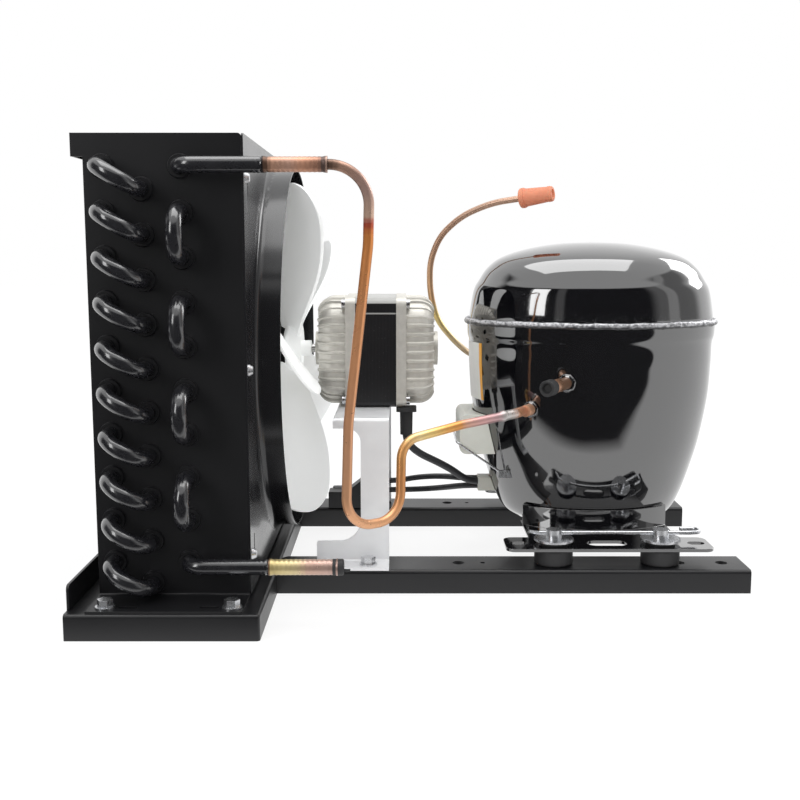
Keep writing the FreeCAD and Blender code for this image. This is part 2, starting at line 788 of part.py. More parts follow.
def motor_rotor():
    """Cage rotor pressed on the shaft."""
    axis = Vec(1, 0, 0)
    start = Vec(stack_left, 0, fan_axis_height)
    core = Part.makeCylinder(rotor_radius, stack_length, start, axis)
    ring_length = 4.0
    for place in (stack_left - ring_length, stack_right):
        ring = Part.makeCylinder(rotor_radius - 1.5, ring_length, Vec(place, 0, fan_axis_height), axis)
        core = core.fuse(ring)
    bore = Part.makeCylinder(shaft_radius, 2 * stack_length, start - axis * (stack_length / 2), axis)
    return core.removeSplitter().cut(bore)


def motor_bearings():
    """A bearing in each shield."""
    axis = Vec(1, 0, 0)
    rings = []
    for start in (motor_left + shield_wall, motor_right - shield_wall - bearing_length):
        place = Vec(start, 0, fan_axis_height)
        outer = Part.makeCylinder(bearing_radius, bearing_length, place, axis)
        rings.append(outer.cut(Part.makeCylinder(shaft_radius + bearing_clearance, bearing_length, place, axis)))
    return group(rings)


def through_screw_places():
    """The four corners of the motor where the long screws run."""
    reach = motor_half - through_screw_inset
    return [(y * reach, fan_axis_height + z * reach) for y in (-1, 1) for z in (-1, 1)]


def motor_stator():
    """Black lamination stack, a square with a round bore for the rotor and slots for the windings."""
    half = motor_half - 0.4
    z = fan_axis_height
    stack = plate_yz([(-half, z - motor_half), (half, z - motor_half), (half, z + half), (-half, z + half)],
                     [5, 5, 5, 5], stack_left, stack_right)
    axis = Vec(1, 0, 0)
    start = Vec(stack_left - 1, 0, z)
    cuts = [Part.makeCylinder(rotor_radius + air_gap, stack_length + 2, start, axis)]
    for y, height in through_screw_places():
        cuts.append(Part.makeCylinder(through_screw_radius + 0.1, stack_length + 2,
                                      Vec(stack_left - 1, y, height), axis))
    return stack.cut(group(cuts))


def motor_windings():
    """Coil heads on both faces of the stack."""
    axis = Vec(1, 0, 0)
    heads = []
    for start in (stack_left - winding_length, stack_right):
        place = Vec(start, 0, fan_axis_height)
        ring = Part.makeCylinder(winding_radius, winding_length, place, axis)
        ring = ring.makeFillet(3.0, [edge for edge in ring.Edges if len(edge.Vertexes) == 1])
        heads.append(ring.cut(Part.makeCylinder(rotor_radius + air_gap + 1.5, winding_length, place, axis)))
    return group(heads)


def shield_form(length, half, corner, nose):
    """A square cup's outside, flat where it meets the stack and rounded at the nose."""
    z = fan_axis_height
    block = plate_yz([(-half, z - half), (half, z - half), (half, z + half), (-half, z + half)],
                     [corner] * 4, 0, length)
    nose_edges = [edge for edge in block.Edges if edge.BoundBox.XMax < 1e-6]
    return block.makeFillet(nose, nose_edges)


def motor_front_shield():
    """Die-cast shield on the fan side: a ribbed cup, a square flange at the stack and a bearing hub."""
    half = motor_half - shield_inset
    z = fan_axis_height
    body = shield_form(shield_length, half, shield_corner_radius, shield_nose_radius)
    grooves = []
    groove_half = (rib_pitch - rib_width) / 2
    run = shield_length - shield_flange_length
    for step in range(rib_count):
        offset = (step - (rib_count - 1) / 2) * rib_pitch
        low = offset - groove_half
        high = offset + groove_half
        for side in (-1, 1):
            near = min(side * half, side * (half - rib_height))
            far = max(side * half, side * (half - rib_height))
            grooves.append(box(-1, run, near, far, z + low, z + high))
            grooves.append(box(-1, run, low, high, z + near, z + far))
    flange = plate_yz([(-motor_half, z - motor_half), (motor_half, z - motor_half), (motor_half, z + motor_half),
                       (-motor_half, z + motor_half)], [shield_flange_radius] * 4, run, shield_length)
    inside = shield_form(shield_length, half - rib_height - shield_wall, 14.0, 6.0).translated(Vec(shield_wall, 0, 0))
    body = body.cut(group(grooves)).fuse(flange).cut(inside)
    axis = Vec(1, 0, 0)
    hub = Part.makeCylinder(shield_hub_radius, shield_wall + bearing_length, Vec(0, 0, z), axis)
    hub = hub.fuse(Part.makeCylinder(shield_hub_radius - 3, shield_hub_length, Vec(-shield_hub_length, 0, z), axis))
    body = body.fuse(hub).removeSplitter()
    cuts = [Part.makeCylinder(bearing_radius, bearing_length + 1, Vec(shield_wall, 0, z), axis),
            Part.makeCylinder(shaft_radius + shield_hub_gap, 20, Vec(-10, 0, z), axis)]
    for y, height in through_screw_places():
        cuts.append(Part.makeCylinder(through_screw_radius + 0.1, shield_length + 2, Vec(-1, y, height), axis))
    for step in range(vent_slot_count):
        slot = box(-1, shield_wall + 1, -vent_slot_width / 2, vent_slot_width / 2,
                   z + shield_hub_radius + 3, z + half - 11)
        cuts.append(slot.rotated(Vec(0, 0, z), axis, 360.0 / vent_slot_count * (step + 0.5)))
    return body.cut(group(cuts)).translated(Vec(motor_left, 0, 0))


def motor_rear_shield(front_shield):
    """The same casting turned round on the other side of the stack."""
    middle = (motor_left + motor_right) / 2
    return front_shield.mirror(Vec(middle, 0, 0), Vec(1, 0, 0))


def motor_screws():
    """Four long screws through flanges and stack, and two short ones up through the bracket."""
    screws = []
    left = stack_left - shield_flange_length
    right = stack_right + shield_flange_length
    for y, z in through_screw_places():
        shank = rod(Vec(left, y, z), Vec(right, y, z), through_screw_radius)
        head = Part.makeCylinder(through_screw_head, 2.4, Vec(right, y, z), Vec(1, 0, 0))
        nut = Part.makeCylinder(through_screw_head, 2.4, Vec(left - 2.4, y, z), Vec(1, 0, 0))
        screws.append(join([shank, head, nut]))
    middle = (stack_left + stack_right) / 2
    under = motor_bottom - bracket_sheet
    for side in (-1, 1):
        head = Part.makeCylinder(4.0, 2.6, Vec(middle, side * 24.0, under - 2.6))
        shank = Part.makeCylinder(2.0, bracket_sheet, Vec(middle, side * 24.0, under))
        screws.append(join([head, shank]))
    return group(screws)


def motor_bracket():
    """Sheet portal over the two rails: two legs with wide feet and a top that carries the motor."""
    sheet = bracket_sheet
    top = motor_bottom
    outer = rail_y
    foot = outer + bracket_foot_depth
    base = base_height
    right_half = [(foot, base), (foot, base + sheet), (outer, base + sheet), (outer, top)]
    inner_half = [(outer - sheet, top - sheet), (outer - sheet, base)]
    corners = right_half + [(-y, z) for y, z in reversed(right_half)]
    corners = corners + [(-y, z) for y, z in reversed(inner_half)] + inner_half
    bend = bracket_bend_radius
    tight = bend - sheet
    radii = [0, 0, tight, bend, bend, tight, 0, 0, bend, tight, tight, bend]
    left = bracket_right - bracket_foot_width
    portal = plate_yz(corners, radii, left, bracket_right)
    leg_left = bracket_right - bracket_leg_width
    head_left = bracket_right - bracket_head_width
    shoulder = base + bracket_foot_height
    neck = top - bracket_head_height
    side_view = plate_xz([(left, base), (bracket_right, base), (bracket_right, top), (head_left, top),
                          (head_left, neck), (leg_left, neck), (leg_left, shoulder), (left, shoulder)],
                         [0, 0, 0, 2, 0, bracket_neck_radius, bracket_leg_radius, 2], -foot - 1, foot + 1)
    bracket = portal.common(side_view)
    cuts = []
    for side in (-1, 1):
        cuts.append(Part.makeCylinder(rail_bolt_shank + bolt_clearance, 6,
                                      Vec(bracket_bolt_x, side * bracket_bolt_y, base - 2)))
        cuts.append(Part.makeCylinder(2.2, 6, Vec((stack_left + stack_right) / 2, side * 24.0, top - 4)))
    return bracket.cut(group(cuts))


def bracket_bolts():
    """Hex bolts that hold the bracket's feet to the rails."""
    z = base_height + bracket_sheet
    return group([hex_bolt(bracket_bolt_x, side * bracket_bolt_y, z, rail_bolt_shank,
                           bracket_sheet + rail_sheet + 2.5, 8.0, 5.0) for side in (-1, 1)])


def end_plate_bolts():
    """Hex bolts that hold both end plates' feet to the tray."""
    z = base_height + end_plate_sheet
    return group([hex_bolt(x, side * foot_bolt_y, z, foot_bolt_shank, end_plate_sheet + tray_sheet + 2.5,
                           8.0, 5.0) for x in foot_bolt_x for side in (-1, 1)])


boot_x = stack_right + 7.0
boot_y = -motor_half + boot_flange_width / 2


def motor_cable_boot():
    """Rubber strain relief under the shield on the compressor side."""
    top = motor_bottom
    half = boot_flange_width / 2
    flange = plate_xy([(boot_x - half, boot_y - half), (boot_x + half, boot_y - half),
                       (boot_x + half, boot_y + half), (boot_x - half, boot_y + half)], [2] * 4,
                      top - boot_flange_height, top)
    sleeve = Part.makeCone(boot_radius * 0.94, boot_radius, boot_length - boot_flange_height,
                           Vec(boot_x, boot_y, top - boot_length))
    return join([flange, sleeve])


block_left = bracket_right - bracket_foot_width - 2.4
block_rear = rail_y - bracket_sheet - block_gap_to_leg
block_front = block_rear - block_width
block_right = block_left + block_length
block_top = base_height + block_height


def junction_block():
    """Black plastic block on the rear rail, with a low step on its left and a sloped shoulder."""
    step_top = base_height + block_step_height
    step_right = block_left + block_step_length
    slope_run = 14.0
    return plate_xz([(block_left, base_height), (block_right, base_height), (block_right, block_top),
                     (step_right + slope_run, block_top), (step_right, step_top + 2.0), (step_right, step_top),
                     (block_left, step_top)], [0, 0, 2, 3, 0, 0, 1], block_front, block_rear)


def lower_outline_points():
    """Half-widths and heights of the lower shell's outside, from its flat bottom to the seam."""
    half = shell_half_length
    height = shell_seam_height - shell_bottom
    shares = [(0.60, 0.0), (0.705, 0.045), (0.782, 0.135), (0.856, 0.27), (0.922, 0.42), (0.98, 0.63),
              (0.997, 0.80), (1.0, 0.90), (1.016, 0.945), (shell_lip, 1.0)]
    return [Vec(half * across, 0, shell_bottom + height * up) for across, up in shares]


def upper_outline_points():
    """Half-widths and heights of the upper shell's outside, from the seam to the crown."""
    half = shell_half_length
    height = shell_top - shell_seam_height
    shares = [(1.0, 0.0), (0.998, 0.135), (0.968, 0.40), (0.922, 0.535), (0.856, 0.68), (0.748, 0.805),
              (0.557, 0.905), (0.30, 0.975), (0.0, 1.0)]
    return [Vec(half * across, 0, shell_seam_height + height * up) for across, up in shares]


def curve_through(points):
    """A smooth curve through points."""
    curve = Part.BSplineCurve()
    curve.interpolate(points)
    return curve


def shell_half_at(z):
    """The lower shell's half-width along X at a height."""
    curve = curve_through(lower_outline_points())
    low = curve.FirstParameter
    high = curve.LastParameter
    for _ in range(40):
        middle = (low + high) / 2
        if curve.value(middle).z < z:
            low = middle
        else:
            high = middle
    return curve.value(low).x


def squashed(shape):
    """Turns a round form into the oval one and moves it to its place."""
    matrix = FreeCAD.Matrix()
    matrix.scale(1.0, shell_plan_ratio, 1.0)
    return shape.transformGeometry(matrix).translated(Vec(compressor_x, 0, 0))


def wall_solid(outside):
    """A shell of even wall, revolved from its outside points."""
    factor = 1 - shell_wall / shell_half_length
    drop = 1 - shell_wall / (shell_seam_height - shell_bottom)
    rise = 1 - shell_wall / (shell_top - shell_seam_height)
    inside = []
    for point in outside:
        share = drop if point.z < shell_seam_height else rise
        inside.append(Vec(point.x * factor, 0, shell_seam_height + (point.z - shell_seam_height) * share))
    edges = [curve_through(outside).toShape(), Part.LineSegment(outside[-1], inside[-1]).toShape(),
             curve_through(inside[::-1]).toShape()]
    if outside[0].z < shell_seam_height:
        foot_outside = Vec(0, 0, outside[0].z)
        foot_inside = Vec(0, 0, inside[0].z)
        edges.append(Part.LineSegment(inside[0], foot_inside).toShape())
        edges.append(Part.LineSegment(foot_inside, foot_outside).toShape())
        edges.append(Part.LineSegment(foot_outside, outside[0]).toShape())
    else:
        edges.append(Part.LineSegment(inside[0], outside[0]).toShape())
    return Part.Face(Part.Wire(edges)).revolve(Vec(0, 0, 0), Vec(0, 0, 1), 360)


def compressor_lower_shell():
    """Deep-drawn lower half, a bowl with a flat bottom."""
    return squashed(wall_solid(lower_outline_points()))


def compressor_upper_shell():
    """Domed upper half."""
    return squashed(wall_solid(upper_outline_points()))


def compressor_weld_bead():
    """Weld bead round the seam, where the lower half's lip stands out past the upper half."""
    lip = shell_half_length * shell_lip
    section = Part.Wire(Part.makeCircle(weld_bead_radius, Vec(lip - 0.3, 0, shell_seam_height), Vec(0, 1, 0)))
    ring = Part.Face(section).revolve(Vec(0, 0, 0), Vec(0, 0, 1), 360)
    reach = 2 * weld_bead_radius
    below = Part.makeCylinder(lip + 0.05, reach, Vec(0, 0, shell_seam_height - reach))
    above = Part.makeCylinder(shell_half_length + 0.05, reach, Vec(0, 0, shell_seam_height))
    return squashed(ring.cut(group([below, above])))


def front_foot_plate():
    """Stamped foot with open ends, a middle slot, a tongue under the shell and a skirt up to its wall."""
    y_middle = -rail_y
    half_width = foot_plate_width / 2
    half_length = foot_plate_length / 2
    bottom = grommet_top
    top = shell_bottom
    strip = plate_xy([(compressor_x - half_length, y_middle - half_width),
                      (compressor_x + half_length, y_middle - half_width),
                      (compressor_x + half_length, y_middle + half_width),
                      (compressor_x - half_length, y_middle + half_width)], [6] * 4, bottom, top)
    tongue = box(compressor_x - foot_tongue_width / 2, compressor_x + foot_tongue_width / 2,
                 y_middle + half_width - 3, y_middle + half_width + foot_tongue_reach, bottom, top)
    tube = Part.makeCylinder(foot_skirt_half, foot_skirt_height, Vec(0, 0, top))
    tube = tube.cut(Part.makeCylinder(foot_skirt_half - foot_skirt_wall, foot_skirt_height, Vec(0, 0, top)))
    reach = foot_tongue_width / 2
    front = box(compressor_x - reach, compressor_x + reach, -foot_skirt_half, -30.0, top, top + foot_skirt_height)
    skirt = squashed(tube).common(front)
    plate = join([strip, tongue, skirt])
    cuts = []
    for x in foot_x:
        cuts.append(Part.makeCylinder(grommet_waist_radius, 8, Vec(x, y_middle, bottom - 3)))
    for side in (-1, 1):
        x = compressor_x + side * (half_length - 9.0)
        cuts.append(slot_xy(x, y_middle, 11.0, 7.0, bottom - 3, top + 3))
    cuts.append(slot_xy(compressor_x, y_middle, 26.0, 12.0, bottom - 3, top + 3))
    return plate.cut(group(cuts))


def grommets():
    """Rubber feet: a fat lower drum, a waist in the plate's hole and a collar above."""
    feet = []
    waist_top = shell_bottom
    for side in (-1, 1):
        for x in foot_x:
            place = Vec(x, side * rail_y, base_height)
            drum = Part.makeCylinder(grommet_radius, grommet_top - base_height, place)
            drum = drum.makeFillet(1.6, [edge for edge in drum.Edges if len(edge.Vertexes) == 1])
            waist = Part.makeCylinder(grommet_waist_radius, waist_top - base_height, place)
            collar = Part.makeCylinder(grommet_collar_radius, grommet_collar_height, Vec(x, side * rail_y, waist_top))
            bore = Part.makeCylinder(stud_radius + stud_clearance, 40, Vec(x, side * rail_y, base_height - 5))
            feet.append(join([drum, waist, collar]).cut(bore))
    return group(feet)


def foot_studs():
    """Studs up through rails and grommets, each with a slotted head for the wire clip."""
    studs = []
    head_bottom = shell_bottom + grommet_collar_height + washer_thickness
    flange_thickness = 1.6
    for side in (-1, 1):
        for x in foot_x:
            y = side * rail_y
            base = base_height - rail_sheet - flange_thickness
            flange = Part.makeCylinder(stud_radius + 3.0, flange_thickness, Vec(x, y, base))
            shank = Part.makeCylinder(stud_radius, head_bottom - base - flange_thickness,
                                      Vec(x, y, base + flange_thickness))
            head = Part.makeCylinder(stud_head_radius, stud_top_height - head_bottom, Vec(x, y, head_bottom))
            hole = Part.makeCylinder(clip_wire / 2 + 0.15, 30, Vec(x - 15, y, clip_height), Vec(1, 0, 0))
            studs.append(join([flange, shank, head]).cut(hole))
    return group(studs)


def foot_washers():
    """Flat washers on the grommets."""
    washers = []
    for side in (-1, 1):
        for x in foot_x:
            place = Vec(x, side * rail_y, shell_bottom + grommet_collar_height)
            disc = Part.makeCylinder(washer_radius, washer_thickness, place)
            washers.append(disc.cut(Part.makeCylinder(stud_radius + stud_clearance, washer_thickness, place)))
    return group(washers)


def front_wire_clip():
    """Spring wire through both stud heads, bent to a loop at its right end."""
    y = -rail_y
    z = clip_height
    start = foot_x[0] - 17.0
    end = foot_x[1] + 19.0
    points = [Vec(start, y - 3.0, z + 1.6), Vec(start + 7.0, y, z), Vec(end, y, z), Vec(end + 7.0, y + 1.5, z),
              Vec(end + 7.0, y + 10.5, z), Vec(end - 4.0, y + 9.5, z)]
    return bent_tube(points, [4.0, 12.0, 3.2, 3.2], clip_wire)


def shell_point(angle, z):
    """A point on the oval shell, its angle counted from +X in the round form, and the way out of it."""
    half = shell_half_at(z)
    radians = math.radians(angle)
    x = half * math.cos(radians)
    y = half * shell_plan_ratio * math.sin(radians)
    outward = Vec(math.cos(radians) / half, math.sin(radians) / (half * shell_plan_ratio), 0).normalize()
    return Vec(compressor_x + x, y, 0), outward


def lifted(point, z):
    """The same point at another height."""
    return Vec(point.x, point.y, z)


def suction_direction():
    """The way the suction stub points, level and leaning towards the condenser."""
    heading = math.radians(suction_heading)
    return Vec(math.cos(heading), math.sin(heading), 0)


def suction_stub():
    """Open copper tube out of the shell, with a brazed collar at its root."""
    point = shell_point(suction_angle, suction_height)[0]
    outward = suction_direction()
    start = lifted(point, suction_height) - outward * stub_root
    outer = Part.makeCylinder(suction_stub_diameter / 2, suction_stub_length + stub_root, start, outward)
    collar = Part.makeCone(suction_stub_diameter / 2 + 2.2, suction_stub_diameter / 2, 3.5,
                           start + outward * stub_root, outward)
    root = Part.makeCylinder(suction_stub_diameter / 2 + 2.2, stub_root, start, outward)
    bore = Part.makeCylinder(suction_stub_diameter / 2 - stub_wall, suction_stub_length,
                             start + outward * (stub_root + 1), outward)
    return join([outer, collar, root]).cut(bore)


def suction_plug():
    """Black rubber plug in the open end of the stub, dished in front."""
    point = shell_point(suction_angle, suction_height)[0]
    outward = suction_direction()
    mouth = lifted(point, suction_height) + outward * suction_stub_length
    head = Part.makeCylinder(suction_plug_diameter / 2, suction_plug_length, mouth, outward)
    dish = Part.makeCone(suction_plug_diameter / 2 - 3.6, suction_plug_diameter / 2 - 1.4, 3.0,
                         mouth + outward * (suction_plug_length - 3.0), outward)
    spigot = Part.makeCylinder(suction_stub_diameter / 2 - stub_wall - plug_clearance, suction_plug_insert,
                               mouth - outward * suction_plug_insert, outward)
    return join([head.cut(dish), spigot])


def discharge_tip():
    """Where the discharge stub ends, and its direction."""
    point, outward = shell_point(discharge_angle, discharge_height)
    return lifted(point, discharge_height) + outward * discharge_stub_length, outward


def discharge_stub():
    """Short stub with a weld ring, on which the discharge line is brazed."""
    tip, outward = discharge_tip()
    start = tip - outward * (discharge_stub_length + stub_root)
    outer = Part.makeCylinder(line_diameter / 2 + 0.9, discharge_stub_length + stub_root, start, outward)
    root = Part.makeCylinder(discharge_ring_radius, stub_root + 1.5, start, outward)
    collar = Part.makeCone(discharge_ring_radius, line_diameter / 2 + 0.9, 2.5, start + outward * (stub_root + 1.5),
                           outward)
    return join([outer, root, collar])


def discharge_line():
    """Copper tube from the compressor: left, down into a deep U, then up to the inlet connector."""
    tip, outward = discharge_tip()
    start = Vec(pipe_end_x + connector_length, header_y, top_tube_z)
    left = start.x
    right = compressor_x
    points = [start, Vec(left + 23.2, -166.3, top_tube_z - 0.6), Vec(left + 22.0, -160.0, 222.0),
              Vec(left + 9.7, -150.0, 118.0), Vec(left + 7.6, -146.0, 54.3), Vec(right - 135.8, -122.0, 54.3),
              Vec(right - 134.9, -111.0, 101.0), Vec(right - 96.0, -92.0, 108.5), tip + outward * 13.0, tip]
    radii = [22.0, 70.0, 90.0, 19.5, 19.5, 15.0, 60.0, 8.0]
    return bent_tube(points, radii, line_diameter)


def process_route():
    """The thin tube's points, from the shell round and up to the plug."""
    point, outward = shell_point(process_angle, process_height)
    base = lifted(point, process_height)
    x = compressor_x
    return [base - outward * stub_root, base + outward * 9.0, Vec(x - 94.3, 44.0, 150.5),
            Vec(x - 107.9, 45.0, 166.5), Vec(x - 113.4, 42.0, 188.3), Vec(x - 113.6, 38.0, 210.7),
            Vec(x - 106.4, 33.0, 229.7), Vec(x - 90.7, 27.0, 244.1), Vec(x - 69.7, 18.0, 253.0),
            Vec(x - 42.5, 4.8, 256.7)]


def process_tube():
    """Thin charging tube that arches over the compressor's left side."""
    points = process_route()
    return bent_tube(points, largest_radii(points), process_diameter)


def process_plug():
    """Stepped orange rubber plug over the open end of the charging tube."""
    route = process_route()
    end = route[-1]
    outward = end.sub(route[-2]).normalize()
    back = end - outward * process_plug_insert
    flange = Part.makeCylinder(process_plug_radius, 3.6, back, outward)
    barrel = Part.makeCone(process_plug_radius - 0.7, process_plug_radius * 0.70, process_plug_length, back, outward)
    bore = Part.makeCylinder(process_diameter / 2 + plug_clearance, process_plug_insert, back, outward)
    dish = Part.makeCone(process_plug_radius * 0.25, process_plug_radius * 0.42, 2.0,
                         back + outward * (process_plug_length - 2.0), outward)
    return join([flange, barrel]).cut(group([bore, dish]))


cover_left = compressor_x - shell_half_length - cover_depth + 7.5
cover_top = cover_bottom + cover_height


def oval_cone(z0, z1):
    """A tapered oval as wide as the shell at two heights, grown by the shell's bulge between them."""
    low = shell_half_at(z0)
    high = shell_half_at(z1)
    steps = 8
    shares = [step / steps for step in range(steps + 1)]
    bulge = max(shell_half_at(z0 + (z1 - z0) * share) - low - (high - low) * share for share in shares)
    grow = bulge + shell_clearance
    return squashed(Part.makeCone(low + grow, high + grow, z1 - z0, Vec(0, 0, z0)))


def terminal_cover():
    """Moulded box over the terminals, open towards the shell."""
    half = cover_width / 2
    right = compressor_x - shell_half_length * 0.55
    outer = plate_xz([(cover_left, cover_bottom), (right, cover_bottom), (right, cover_top), (cover_left, cover_top)],
                     [cover_corner_radius, 0, 0, cover_corner_radius], -half, half)
    inner = box(cover_left + cover_wall, right + 1, -half + cover_wall, half - cover_wall,
                cover_bottom + cover_wall, cover_top - cover_wall)
    return outer.cut(inner).cut(oval_cone(cover_bottom, cover_top))


def start_relay():
    """Relay and overload pushed on the terminal pins under the cover."""
    gap = 0.6
    left = cover_left + cover_wall + gap
    right = compressor_x - shell_half_length * 0.55
    block = box(left, right, -cover_width / 2 + 8, cover_width / 2 - 8, cover_bottom + 6, cover_top - 6)
    return block.cut(oval_cone(cover_bottom, cover_top))


def bail_side():
    """How far out the bail's arms run."""
    return cover_width / 2 + bail_wire / 2 + bail_gap


def bail_pivot_x():
    """The pivot line's place in front of the shell's wall."""
    half = shell_half_at(bail_pivot_height)
    share = bail_side() / (half * shell_plan_ratio)
    return compressor_x - half * math.sqrt(1 - share ** 2) - bail_wire / 2 - bail_gap


def cover_bail():
    """Wire bail across the cover's front, its two ends bent outwards as pivots."""
    y = bail_side()
    x = cover_left - bail_wire / 2 - bail_gap
    root = bail_pivot_x()
    end = y + bail_pin_length
    height = bail_pivot_height
    bar_height = height + bail_rise
    print("bail pivot", round(root, 3))
    points = [Vec(root, -end, height), Vec(root, -y, height), Vec(x, -y, bar_height), Vec(x, y, bar_height),
              Vec(root, y, height), Vec(root, end, height)]
    return bent_tube(points, [1.6, 3.0, 3.0, 1.6], bail_wire)


def bail_eyelets():
    """Two small lugs on the shell in which the bail's ends turn."""
    root = bail_pivot_x()
    low = bail_pivot_height - eyelet_half
    high = bail_pivot_height + eyelet_half
    near = bail_side() + bail_pin_length - 0.6 - eyelet_width
    lugs = []
    for side in (-1, 1):
        inner = side * near
        outer = side * (near + eyelet_width)
        lug = box(root - eyelet_half, root + 14.0, min(inner, outer), max(inner, outer), low, high)
        bore = Part.makeCylinder(bail_wire / 2 + eyelet_clearance, 2 * eyelet_width,
                                 Vec(root, side * near - eyelet_width / 2 + side * eyelet_width / 2, bail_pivot_height),
                                 Vec(0, 1, 0))
        lugs.append(lug.cut(bore).cut(oval_cone(low, high)))
    return group(lugs)


def lead_clip():
    """Small clamp on the shell where the leads come together."""
    left = compressor_x - shell_half_length * 0.83 - lead_clip_length
    half = lead_clip_width / 2
    block = box(left, left + 3 * lead_clip_length, -half, half, lead_clip_bottom,
                lead_clip_bottom + lead_clip_height)
    return block.cut(oval_cone(lead_clip_bottom, lead_clip_bottom + lead_clip_height))


clip_face = compressor_x - shell_half_length * 0.83 - lead_clip_length


def motor_lead():
    """Lead from the motor's boot to the clip."""
    bottom = motor_bottom - boot_length
    points = [Vec(boot_x, boot_y, bottom), Vec(boot_x, boot_y, bottom - 9.5), Vec(17.2, -14.0, 65.0),
              Vec(clip_face - 8.0, -4.6, 54.6), Vec(clip_face, -4.6, 53.0)]
    points[-2].z = points[-1].z
    return cord("motor_lead", points, motor_lead_diameter)


def box_lead_upper():
    """Upper lead from the junction block to the clip."""
    y = (block_front + block_rear) / 2
    points = [Vec(block_right, y, 36.0), Vec(block_right + 10.0, y, 36.0), Vec(block_right + 26.0, y - 9.0, 41.0),
              Vec(clip_face - 24.0, 36.0, 48.0), Vec(clip_face - 9.0, 4.2, 53.2), Vec(clip_face, 4.2, 53.2)]
    return cord("box_lead_upper", points, lead_diameter)


def box_lead_lower():
    """Lower lead from the junction block to the clip."""
    y = (block_front + block_rear) / 2
    points = [Vec(block_right, y, 28.5), Vec(block_right + 10.0, y, 28.5), Vec(block_right + 28.0, y - 11.0, 31.5),
              Vec(clip_face - 24.0, 31.0, 40.0), Vec(clip_face - 9.0, 0.4, 48.6), Vec(clip_face, 0.4, 48.6)]
    return cord("box_lead_lower", points, lead_diameter)


# Inside the compressor
spring_height = 16.0
pump_stator_height = 52.0
pump_stator_half = 44.0
pump_rotor_radius = 27.0
pump_block_height = 26.0
crank_radius = 8.0
crank_throw = 7.0
crank_pin_radius = 5.0
piston_radius = 12.5
pump_floor = shell_bottom + shell_wall
pump_stator_bottom = pump_floor + spring_height
pump_stator_top = pump_stator_bottom + pump_stator_height
pump_block_bottom = pump_stator_top + 6.0
pump_block_top = pump_block_bottom + pump_block_height
pin_top = pump_block_top + 14.0
cylinder_z = pump_block_top + 15.0
running_gap = 0.05


def suspension_springs():
    """Four coil springs that carry the pump."""
    springs = []
    wire = 2.0
    for x in (-26.0, 26.0):
        for y in (-20.0, 20.0):
            helix = Part.makeHelix(4.4, spring_height - wire, 6.0)
            section = Part.Wire(Part.makeCircle(wire / 2, Vec(6.0, 0, 0), Vec(0, 1, 0)))
            coil = Part.Wire(helix).makePipeShell([section], True, True)
            springs.append(coil.translated(Vec(compressor_x + x, y, pump_floor + wire / 2 + 0.1)))
    return group(springs)


def pump_stator():
    """Laminated stator of the compressor's motor with its winding heads."""
    half = pump_stator_half
    z0 = pump_stator_bottom
    z1 = pump_stator_top
    stack = plate_xy([(compressor_x - half, -half), (compressor_x + half, -half), (compressor_x + half, half),
                      (compressor_x - half, half)], [14] * 4, z0 + 8, z1 - 8)
    lower = Part.makeCylinder(half * 0.86, 8, Vec(compressor_x, 0, z0))
    upper = Part.makeCylinder(half * 0.86, 8, Vec(compressor_x, 0, z1 - 8))
    bore = Part.makeCylinder(pump_rotor_radius + air_gap, 2 * pump_stator_height, Vec(compressor_x, 0, z0 - 5))
    return join([stack, lower, upper]).cut(bore)


def pump_rotor():
    """Rotor on the crankshaft, whose pin stands off its axis above the block."""
    z0 = pump_stator_bottom + 4
    rotor = Part.makeCylinder(pump_rotor_radius, pump_stator_height - 8, Vec(compressor_x, 0, z0))
    shaft = Part.makeCylinder(crank_radius, pump_block_top - z0 + 2, Vec(compressor_x, 0, z0))
    web = Part.makeCylinder(crank_radius + 6, 4, Vec(compressor_x + 2, 0, pump_block_top + 1))
    pin = Part.makeCylinder(crank_pin_radius, pin_top + 6 - pump_block_top - 5,
                            Vec(compressor_x + crank_throw, 0, pump_block_top + 5))
    return join([rotor, shaft, web, pin])


def pump_block():
    """Cast block: a slab with the shaft's bearing, four posts on the stator and the cylinder."""
    x = compressor_x
    slab = plate_xy([(x - 46, -34), (x + 52, -34), (x + 52, 34), (x - 46, 34)], [12] * 4,
                    pump_block_bottom + 14, pump_block_top)
    bearing = Part.makeCylinder(crank_radius + 6, pump_block_height - 2, Vec(x, 0, pump_block_bottom + 2))
    barrel = Part.makeCylinder(piston_radius + 7, 30, Vec(x + 24, 0, cylinder_z), Vec(1, 0, 0))
    posts = [Part.makeCylinder(5, pump_block_bottom + 15 - pump_stator_top + 8,
                               Vec(x + side_x * 36, side_y * 26, pump_stator_top - 8))
             for side_x in (-1, 1) for side_y in (-1, 1)]
    block = join([slab, bearing, barrel] + posts)
    cuts = [Part.makeCylinder(crank_radius + running_gap, 60, Vec(x, 0, pump_block_bottom - 10)),
            Part.makeCylinder(piston_radius + running_gap, 26, Vec(x + 20, 0, cylinder_z), Vec(1, 0, 0))]
    upper_heads = Part.makeCylinder(pump_stator_half * 0.86 + 0.4, 8, Vec(x, 0, pump_stator_top - 8))
    return block.cut(group(cuts)).cut(upper_heads)


def pump_piston():
    """Piston with its rod, whose big end goes round the crank pin."""
    x = compressor_x
    piston = Part.makeCylinder(piston_radius, 14, Vec(x + 28, 0, cylinder_z), Vec(1, 0, 0))
    link = box(x + crank_throw + 6, x + 30, -3.5, 3.5, cylinder_z - 4, cylinder_z + 4)
    big_end = Part.makeCylinder(crank_pin_radius + 3.5, 8, Vec(x + crank_throw, 0, cylinder_z - 4))
    bore = Part.makeCylinder(crank_pin_radius + running_gap, 20, Vec(x + crank_throw, 0, cylinder_z - 10))
    return join([piston, link, big_end]).cut(bore)


